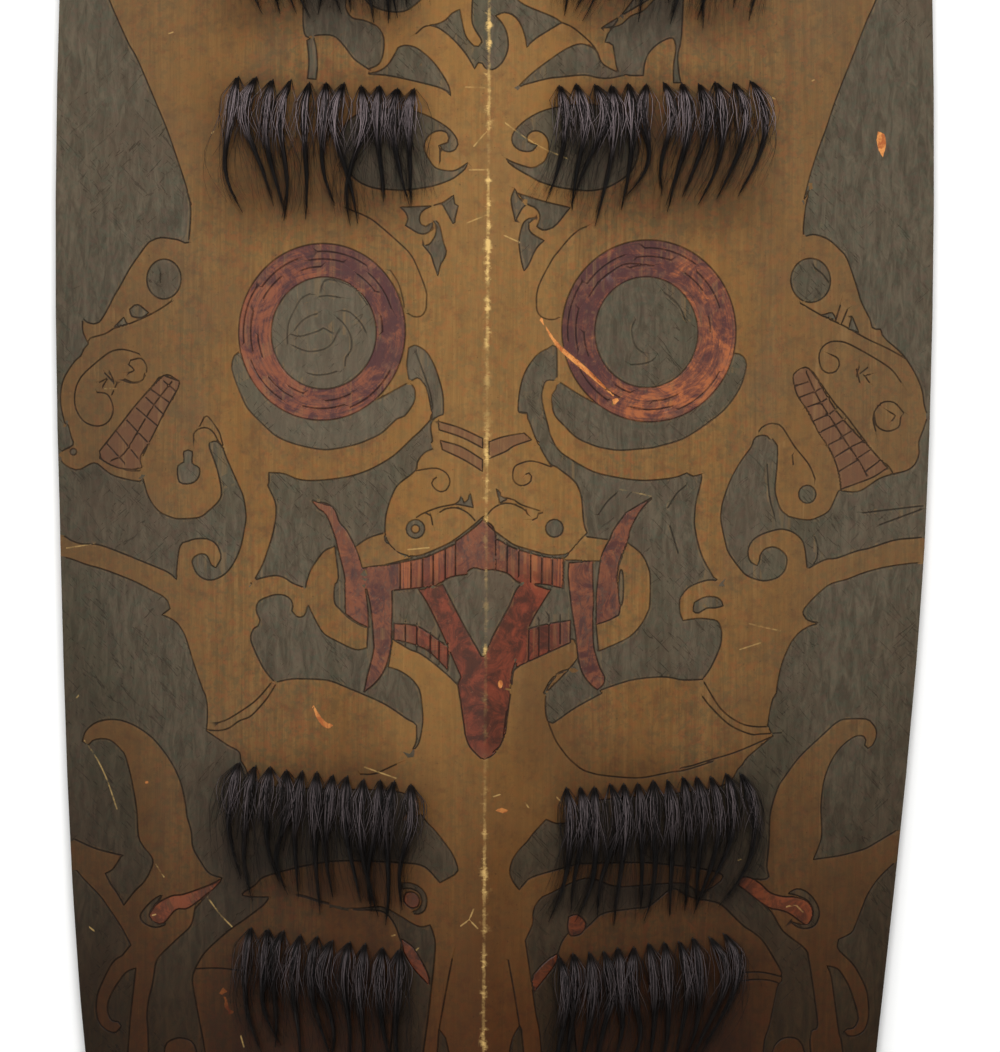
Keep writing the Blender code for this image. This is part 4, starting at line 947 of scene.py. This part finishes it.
def read_ornament():
    """The outlines in their order, each as (kind, points, closed)."""
    shapes = []
    for line in ORNAMENT.replace("\n  ", " ").strip().splitlines():
        words = line.split()
        pair = words[0] == "pair"
        words = words[1:] if pair else words
        kind = words[0]
        closed = kind not in ("line", "pale")
        numbers = [word for word in words if "," in word]
        points, corners = curve_points(numbers)
        if words[1] == "oval":
            samples = oval_points(points[0], points[1])
        else:
            samples = sample_curve(points, corners, closed)
        shapes.append((kind, samples, closed))
        if pair:
            mirrored = samples * (-1, 1) + (2 * RIDGE_X / MM, 0)
            shapes.append((kind, mirrored[::-1], closed))
    for centre, inner, outer in EYE_RINGS:
        for stroke in ring_strokes(centre, inner, outer):
            shapes.append(("line", stroke, False))
    for cut in tooth_lines():
        shapes.append(("line", cut, False))
    return shapes


def inside(points, outline):
    """Whether each point lies in a closed outline, by counting the sides that a line to its right crosses."""
    low = outline.min(0)
    high = outline.max(0)
    near = np.nonzero(((points >= low) & (points <= high)).all(1))[0]
    found = np.zeros(len(points), bool)
    start = outline
    end = np.roll(outline, -1, axis=0)
    rise = np.where(end[:, 1] == start[:, 1], 1e-9, end[:, 1] - start[:, 1])
    for part in np.array_split(near, max(1, len(near) // 8000)):
        x = points[part, 0][:, None]
        y = points[part, 1][:, None]
        spans = (start[:, 1] > y) != (end[:, 1] > y)
        right = x < start[:, 0] + (end[:, 0] - start[:, 0]) * (y - start[:, 1]) / rise
        found[part] = (spans & right).sum(1) % 2 == 1
    return found


def painted(points, shapes):
    """For each point the kind of paint on it, and the number of the last outline that covers it."""
    kind = np.zeros(len(points), int)
    last = np.full(len(points), -1)
    for number, (name, outline, closed) in enumerate(shapes):
        if closed:
            covered = inside(points, outline)
            kind[covered] = KINDS.index(name)
            last[covered] = number
    return kind, last


def nearest(points, targets):
    """The distance in millimetres from each point to the nearest target, at most REACH. Both lie in square
    cells as wide as REACH, so each point meets only the targets of its own cell and of the eight round it."""
    best = np.full(len(points), REACH)
    cells = np.floor(points / REACH).astype(int)
    target_cells = np.floor(targets / REACH).astype(int)
    target_keys = target_cells[:, 0] * CELL_ROWS + target_cells[:, 1]
    order = np.argsort(target_keys)
    keys = target_keys[order]
    for across in (-1, 0, 1):
        for up in (-1, 0, 1):
            wanted = (cells[:, 0] + across) * CELL_ROWS + cells[:, 1] + up
            first = np.searchsorted(keys, wanted, "left")
            count = np.searchsorted(keys, wanted, "right") - first
            point = np.repeat(np.arange(len(points)), count)
            place = np.arange(count.sum()) - np.repeat(np.cumsum(count) - count, count)
            target = order[np.repeat(first, count) + place]
            np.minimum.at(best, point, np.linalg.norm(points[point] - targets[target], axis=1))
    return best


def side_points(outline, closed, distance):
    """The points beside an outline's samples, distance to their left."""
    if closed:
        along = np.roll(outline, -1, axis=0) - np.roll(outline, 1, axis=0)
    else:
        along = np.gradient(outline, axis=0)
    size = np.linalg.norm(along, axis=1, keepdims=True)
    along = along / np.where(size == 0, 1, size)
    return outline + np.stack([-along[:, 1], along[:, 0]], 1) * distance


class Drawing:
    """The ornament's visible lines, with the kinds of paint on both sides of each."""

    def __init__(self):
        self.shapes = read_ornament()
        self.lines = []
        edges = {kind: [] for kind in KINDS}
        cuts = []
        scratches = []
        for number, (kind, outline, closed) in enumerate(self.shapes):
            left, _ = painted(side_points(outline, closed, BESIDE), self.shapes)
            right, _ = painted(side_points(outline, closed, -BESIDE), self.shapes)
            _, last = painted(outline, self.shapes[number + 1:])
            seen = last < 0
            if closed:
                seen &= left != right
            seen &= inset(outline) > LINE_MARGIN
            for index, name in enumerate(KINDS):
                edges[name].append(outline[seen & ((left == index) != (right == index))])
            if kind == "pale":
                scratches.append(outline[seen])
            elif kind != "bare":
                cuts.append(outline[seen])
            following = np.roll(seen, -1) if closed else np.append(seen[1:], False)
            starts = np.nonzero(seen & following)[0]
            self.lines.append((outline, starts, closed, seen))
        self.edges = {name: np.concatenate(parts) for name, parts in edges.items()}
        self.cuts = np.concatenate(cuts)
        self.scratches = np.concatenate(scratches)


def cad_shell():
    """The board's solid, merged, without its front. The open loop that is left is where the new one joins."""
    shell = bmesh.new()
    shell.from_mesh(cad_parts["shield_board"].data)
    bmesh.ops.remove_doubles(shell, verts=shell.verts, dist=MERGE_DISTANCE)
    shell.verts.ensure_lookup_table()
    place = np.array([v.co for v in shell.verts])
    below = front_height(place[:, 0], place[:, 1]) - place[:, 2]
    margin = half_width(np.clip(place[:, 1], -SHOULDER_Y, SHOULDER_Y)) - np.abs(place[:, 0])
    on_front = np.abs(below) < FRONT_SLACK
    in_slit = (margin > SLIT_MARGIN) & (below < SLIT_DEPTH + SLIT_SLACK)
    gone = on_front | in_slit
    front = [face for face in shell.faces if all(gone[v.index] for v in face.verts)]
    bmesh.ops.delete(shell, geom=front, context="FACES")
    loop = [edge for edge in shell.edges if len(edge.link_faces) == 1]
    for cuts in range(1, 40):
        chosen = [edge for edge in loop if int(edge.calc_length() / RIM_STEP) == cuts]
        if chosen:
            bmesh.ops.subdivide_edges(shell, edges=chosen, cuts=cuts)
    shell.verts.index_update()
    return shell


def ridge_line():
    """The points of the ridge, from end to end, in millimetres."""
    y = np.arange(-LENGTH / 2 + RIDGE_GAP, LENGTH / 2 - RIDGE_GAP, RIDGE_STEP) / MM
    return np.stack([np.full(len(y), RIDGE_X / MM), y], 1)


def field_points():
    """A grid of points moved a little by sines, all over the front."""
    rows = np.arange(-LENGTH / 2, LENGTH / 2, FIELD_STEP * MM) / MM
    columns = np.arange(-WIDTH / 2, WIDTH / 2, FIELD_STEP * MM) / MM
    x, y = np.meshgrid(columns, rows)
    x = x + np.sin(y * 3.1 + x * 1.7) * FIELD_STEP * FIELD_SHIFT
    y = y + np.sin(x * 2.3 + y * 1.1) * FIELD_STEP * FIELD_SHIFT
    points = np.stack([x.ravel(), y.ravel()], 1)
    return points[inset(points) > FIELD_MARGIN]


def inset(points):
    """How far inside the outline each point is, in millimetres. Past the shoulders the outline runs straight
    to the ends, where it is END_HALF_WIDTH from the middle."""
    x = points[:, 0] * MM
    y = points[:, 1] * MM
    level = np.clip(y, -SHOULDER_Y, SHOULDER_Y)
    past = np.clip((np.abs(y) - SHOULDER_Y) / (LENGTH / 2 - SHOULDER_Y), 0, 1)
    return (half_width(level) * (1 - past) + END_HALF_WIDTH * past - np.abs(x - lean(x, y))) / MM


def build_board():
    """The front is a constrained triangulation: outlines and ridge are its edges, with a lip on each side of
    a cut, so that z = front_height - GROOVE_DEPTH (1 - d / LIP) makes a V at distance d from a line."""
    drawing = Drawing()
    shell = cad_shell()
    rim_edges = [edge for edge in shell.edges if len(edge.link_faces) == 1]
    rim_ends = np.array([[vert.index for vert in edge.verts] for edge in rim_edges])
    rim_verts, rim_sides = np.unique(rim_ends, return_inverse=True)
    shell_places = np.array([vert.co for vert in shell.verts])
    shell_faces = [[vert.index for vert in face.verts] for face in shell.faces]
    shell.free()
    shell_places[:, 0] += lean(shell_places[:, 0], shell_places[:, 1])
    points = [shell_places[rim_verts, :2] / MM]
    edges = [rim_sides.reshape(-1, 2)]
    total = len(rim_verts)

    ridge = ridge_line()
    ridge_starts = np.arange(len(ridge) - 1)
    lines = [(ridge, ridge_starts)] + [(outline, starts) for outline, starts, _, _ in drawing.lines]
    for line, starts in lines:
        points.append(line)
        edges.append(total + np.stack([starts, (starts + 1) % len(line)], 1))
        total += len(line)
    lips = [ridge + (RIDGE_LIP, 0), ridge - (RIDGE_LIP, 0)]
    for outline, _, closed, seen in drawing.lines:
        lips.append(side_points(outline, closed, LIP)[seen])
        lips.append(side_points(outline, closed, -LIP)[seen])
    lips = np.concatenate(lips)
    lips = lips[inset(lips) > FIELD_MARGIN]
    lips = lips[nearest(lips, drawing.cuts) > LIP_GAP]
    field = field_points()
    taken = np.concatenate([drawing.cuts, lips, ridge])
    field = field[nearest(field, taken) > FIELD_GAP]
    points = np.concatenate(points + [lips, field]).tolist()
    made = delaunay_2d_cdt(points, np.concatenate(edges).tolist(), [], 1, SAME_POINT)
    made_points = np.array(made[0])
    corners = np.array(made[2])
    source = np.array([min(sources, default=total) for sources in made[3]])

    distance = nearest(made_points, drawing.cuts)
    x = made_points[:, 0] * MM
    y = made_points[:, 1] * MM
    depth = GROOVE_DEPTH * MM * np.clip(1 - distance / LIP, 0, 1)
    waves = np.sin(x * 61 + y * 23) + np.sin(x * 37 - y * 47 + 1.3)
    depth += UNEVENNESS * waves * np.clip(distance / REACH, 0, 1)
    on_ridge = np.abs(made_points[:, 0] - RIDGE_X / MM) < LIP / 2
    depth += np.where(on_ridge, RIDGE_WEAR + UNEVENNESS * np.sin(y * 900) * np.sin(y * 331), 0)
    z = carved_height(x, y) - depth
    on_rim = source < len(rim_verts)
    place_of = np.cumsum(~on_rim) - 1 + len(shell_places)
    place_of[on_rim] = rim_verts[source[on_rim]]
    corners = place_of[corners]
    corners = corners[(corners != np.roll(corners, 1, axis=1)).all(1)]
    places = np.concatenate([shell_places, np.stack([x, y, z], 1)[~on_rim]])
    used = np.arange(len(places)) < len(shell_places)
    used[corners] = True
    number = np.cumsum(used) - 1
    mesh = bpy.data.meshes.new("board")
    mesh.from_pydata(places[used].tolist(), [], shell_faces + number[corners].tolist())
    mesh.validate()
    paint_board(mesh, drawing)
    return mesh


def paint_board(mesh, drawing):
    """Writes the signed distance to each paint's edge, and the distances to the cuts, the scratches and the
    ridge, on the points."""
    place = np.zeros(len(mesh.vertices) * 3)
    mesh.vertices.foreach_get("co", place)
    place = place.reshape(-1, 3)
    points = place[:, :2] / MM
    below = carved_height(place[:, 0], place[:, 1]) - place[:, 2]
    back = (below > BACK_DEPTH) & (inset(points) > FIELD_GAP)
    kind, _ = painted(points, drawing.shapes)
    for name in KINDS[1:]:
        distance = nearest(points, drawing.edges[name])
        signed = np.where(kind == KINDS.index(name), distance, -distance)
        write_attribute(mesh, "paint_" + name, np.where(back, -REACH, signed))
    off_ridge = np.minimum(REACH, np.abs(points[:, 0] - RIDGE_X / MM))
    write_attribute(mesh, "groove", np.where(back, REACH, nearest(points, drawing.cuts)))
    write_attribute(mesh, "scratch", np.where(back, REACH, nearest(points, drawing.scratches)))
    write_attribute(mesh, "ridge", np.where(back, REACH, off_ridge))
    write_attribute(mesh, "back", back)


def write_attribute(mesh, name, values):
    made = mesh.attributes.new(name, "FLOAT", "POINT")
    made.data.foreach_set("value", np.asarray(values, np.float32).ravel())


def finish_piece(mesh, name, node, material, sharp):
    """The mesh as a piece that rides on the root and stands for its CAD node."""
    mesh.materials.append(material)
    mesh.shade_smooth()
    if sharp:
        mesh.set_sharp_from_angle(angle=math.radians(24))
    piece = bpy.data.objects.new(name, mesh)
    bpy.context.scene.collection.objects.link(piece)
    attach(piece, "root")
    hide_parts(node)
    return piece


def drift(number, salt):
    """The same small change for a lock each time, from -1 to 1."""
    return 2 * ((number * GOLDEN_SHARE + salt * GOLDEN_SHARE ** 2) % 1) - 1


def smooth(value):
    value = np.clip(value, 0, 1)
    return value * value * (3 - 2 * value)


def tubes(x, y, z, wide, deep, sides):
    """Closed tubes along rows of points: at each point a ring of sides, wide in x and deep in z,
    (x + wide cos a, y, z + deep sin a). Returns the vertices and the faces, with a cap at both ends."""
    count, rings = x.shape
    angle = np.arange(sides) / sides * 2 * math.pi + math.pi / 2
    ring_x = x[:, :, None] + wide[:, :, None] * np.cos(angle)
    ring_z = z[:, :, None] + deep[:, :, None] * np.sin(angle)
    ring_y = np.broadcast_to(y[:, :, None], ring_x.shape)
    verts = np.stack([ring_x, ring_y, ring_z], 3).reshape(-1, 3)
    index = np.arange(count * rings * sides).reshape(count, rings, sides)
    following = np.roll(index, -1, axis=2)
    walls = np.stack([index[:, :-1], following[:, :-1], following[:, 1:], index[:, 1:]], 3).reshape(-1, 4)
    caps = np.concatenate([index[:, 0, ::-1], index[:, -1, :]])
    return verts, walls.tolist() + caps.tolist()


def hair_row(place, inner, outer, count, material):
    """A half row of locks. Each has a dark core and STRANDS hairs that leave the board at one point, fan out
    and then close to a thin tip:
    x = root + reach sin(pi t^0.75) + curl sin(2 pi t) + sway t^2.6 + u width(t),
    y = root - length t, z = front + rise(t). Here t goes along a hair, and u across its lock. Loose hairs
    cross to the next lock, short ones end early, and hairs under the others don't shine."""
    random = np.random.default_rng(sum(map(ord, place)))
    side = math.copysign(1, outer[0])
    number = np.arange(count)
    share = number / (count - 1)
    root_x = inner[0] + (outer[0] - inner[0]) * share + ROOT_DRIFT_ALONG_ROW * drift(number, count)
    root_y = inner[1] + (outer[1] - inner[1]) * share + ROOT_DRIFT_ACROSS_ROW * drift(number, 2 * count)
    spacing = abs(outer[0] - inner[0]) / (count - 1)
    outer_reach = (0.0030 + 0.0016 * (side + 1)) * share ** 5
    reach = side * (0.0022 + 0.0014 * random.uniform(-1, 1, count) + outer_reach)
    swing = 0.0062 * random.uniform(-1, 1, count)
    sway = -side * (0.0026 + 0.0012 * side + swing + 0.002 * share ** 4)
    curl = 0.0014 * random.normal(0, 1, count)
    length = LOCK_LENGTH * (1.00 + 0.12 * random.uniform(-1, 1, count))

    def spine(lock, t):
        bulge = reach[lock][:, None] * np.sin(math.pi * np.clip(t, 0, 1.1) ** 0.75)
        hook = curl[lock][:, None] * np.sin(2 * math.pi * t)
        return root_x[lock][:, None] + bulge + hook + sway[lock][:, None] * np.clip(t, 0, 2) ** 2.6

    # The cores
    t = np.broadcast_to(np.linspace(0, 1, CORE_RINGS)[None, :], (count, CORE_RINGS))
    core_x = spine(number, t)
    core_y = root_y[:, None] - length[:, None] * t
    core_wide = 0.0002 + 0.0017 * smooth(t / 0.06) - 0.0013 * smooth((t - 0.08) / 0.12)
    core_wide = core_wide + 0.0006 * smooth((t - 0.32) / 0.16)
    core_wide = core_wide * (1 - 0.88 * smooth((t - 0.56) / 0.44))
    core_deep = 0.0003 + 0.0006 * smooth(t / 0.2) * (1 - 0.6 * smooth((t - 0.5) / 0.5))
    core_rise = 0.0004 + LOCK_RISE * 0.40 * smooth(t / 0.3) * (1 - 0.5 * smooth((t - 0.35) / 0.65))
    core_z = carved_height(core_x, core_y) + core_rise
    core_verts, core_faces = tubes(core_x, core_y, core_z, core_wide, core_deep, 8)

    # The hairs
    lock = np.repeat(number, STRANDS)
    total = len(lock)

    def any_share():
        return random.uniform(0, 1, (total, 1))

    def some(part):
        """1 for this part of the hairs, and 0 for the others."""
        return (any_share() < part) * 1.0

    u = np.clip(random.normal(0, 0.58, (total, 1)), -1.2, 1.2)
    u = u * (1 - 0.72 * some(0.36))
    layer = any_share() ** 0.7
    wave = random.normal(0, 1, (total, 1))
    phase = random.uniform(0, 2 * math.pi, (total, 1))
    stray = random.normal(0, 1, (total, 1))
    loose = some(0.40)
    crossing = loose * random.choice((-1.0, 0.0, 1.0), (total, 1)) * spacing
    under = some(0.25)
    short = some(0.42)
    start = 0.14 + 0.20 * any_share()
    closing = 0.94 - 0.46 * loose - 0.45 * short
    last = 1 - 0.10 * any_share() - short * (0.30 + 0.30 * any_share())
    t = 0.012 + (np.linspace(0, 1, STRAND_RINGS)[None, :] ** 0.9) * (last - 0.012)
    fan = (0.12 + 0.88 * smooth(t / 0.17)) * (1 - closing * smooth((t - start) / 0.34))
    fan = fan + 0.13 * smooth((t - 0.60) / 0.4)
    waviness = 0.0005 + 0.0008 * loose + 0.0005 * short
    x = spine(lock, t) + u * spacing * 0.72 * fan + crossing * smooth((t - 0.10) / 0.5) * 0.7
    x = x + waviness * wave * np.sin(2.6 * math.pi * t + phase) * smooth(t / 0.25)
    x = x + 0.0026 * loose * stray * smooth((t - 0.3) / 0.7)
    y = root_y[lock][:, None] - length[lock][:, None] * t * (1 - 0.05 * np.abs(u))
    rise = LOCK_RISE * smooth(t / 0.22) * (1 - 0.62 * smooth((t - 0.28) / 0.72))
    z = carved_height(x, y) + 0.0006 + rise * (1 - 0.45 * u ** 2) * (0.45 + 0.55 * layer) * (1 - 0.6 * under)
    radius = STRAND_RADIUS * (1 - 0.60 * smooth((t - 0.3) / 0.7)) * (0.75 + 0.4 * layer) * (1 - 0.3 * loose)
    hair_verts, hair_faces = tubes(x, y, z, radius, radius, 3)

    offset = len(core_verts)
    faces = core_faces + [[corner + offset for corner in face] for face in hair_faces]
    mesh = bpy.data.meshes.new("hair_" + place)
    mesh.from_pydata(np.concatenate([core_verts, hair_verts]).tolist(), [], faces)
    # How much of the painted sheen each hair shows; hairs under the others show none
    shown = any_share() ** 1.3 * (0.4 + 0.6 * layer) * (1 - under)
    shown = np.broadcast_to(shown, x.shape)
    write_attribute(mesh, "along", np.concatenate([np.ones(offset), np.repeat(t.ravel(), 3)]))
    write_attribute(mesh, "strand", np.concatenate([np.zeros(offset), np.repeat(shown.ravel(), 3)]))
    return finish_piece(mesh, "hair_" + place, "hair_row_" + place, material, False)


def build_stage():
    """A plain pale floor, a broad soft light from the board's top end, and an even pale surround."""
    mesh = bpy.data.meshes.new("floor")
    corners = [(-4, -4, -0.0005), (4, -4, -0.0005), (4, 4, -0.0005), (-4, 4, -0.0005)]
    mesh.from_pydata(corners, [], [(0, 1, 2, 3)])
    floor = bpy.data.objects.new("floor", mesh)
    bpy.context.scene.collection.objects.link(floor)
    mesh.materials.append(plain_material("pale_floor", linear(250, 250, 249), 0.9))
    world = bpy.data.worlds.new("studio")
    world.use_nodes = True
    world.node_tree.nodes["Background"].inputs["Color"].default_value = (1, 1, 1, 1)
    world.node_tree.nodes["Background"].inputs["Strength"].default_value = 0.55
    bpy.context.scene.world = world
    for name, place, size, power in (("key", (0.1, 1.0, 1.5), 0.9, 26), ("fill", (-0.9, -0.3, 1.6), 1.2, 6)):
        light = bpy.data.lights.new(name, "AREA")
        light.size = size
        light.energy = power
        lamp = bpy.data.objects.new(name, light)
        lamp.location = place
        aim = np.array((0.0, 0.0, 0.03)) - place
        lamp.rotation_euler = (
            math.atan2(math.hypot(aim[0], aim[1]), -aim[2]),
            0,
            math.atan2(aim[0], -aim[1]) + math.pi,
        )
        bpy.context.scene.collection.objects.link(lamp)


def build_camera():
    """A long lens straight over the board, turned by VIEW_ROLL."""
    camera = bpy.data.cameras.new("camera")
    camera.lens = camera.sensor_width * (VIEW_HEIGHT - MEAN_HEIGHT) / VIEW_LONG_SIDE
    camera.clip_end = 20
    holder = bpy.data.objects.new("camera", camera)
    holder.location = (VIEW_X, VIEW_Y, VIEW_HEIGHT)
    holder.rotation_euler = (0, 0, VIEW_ROLL)
    bpy.context.scene.collection.objects.link(holder)
    bpy.context.scene.camera = holder
    bpy.context.scene.view_settings.view_transform = "Standard"


build_camera()
build_stage()
finish_piece(build_board(), "board", "shield_board", board_material(), True)
hair = hair_material()
for place, (inner, outer, count) in HAIR_ROWS.items():
    hair_row(place, inner, outer, count, hair)
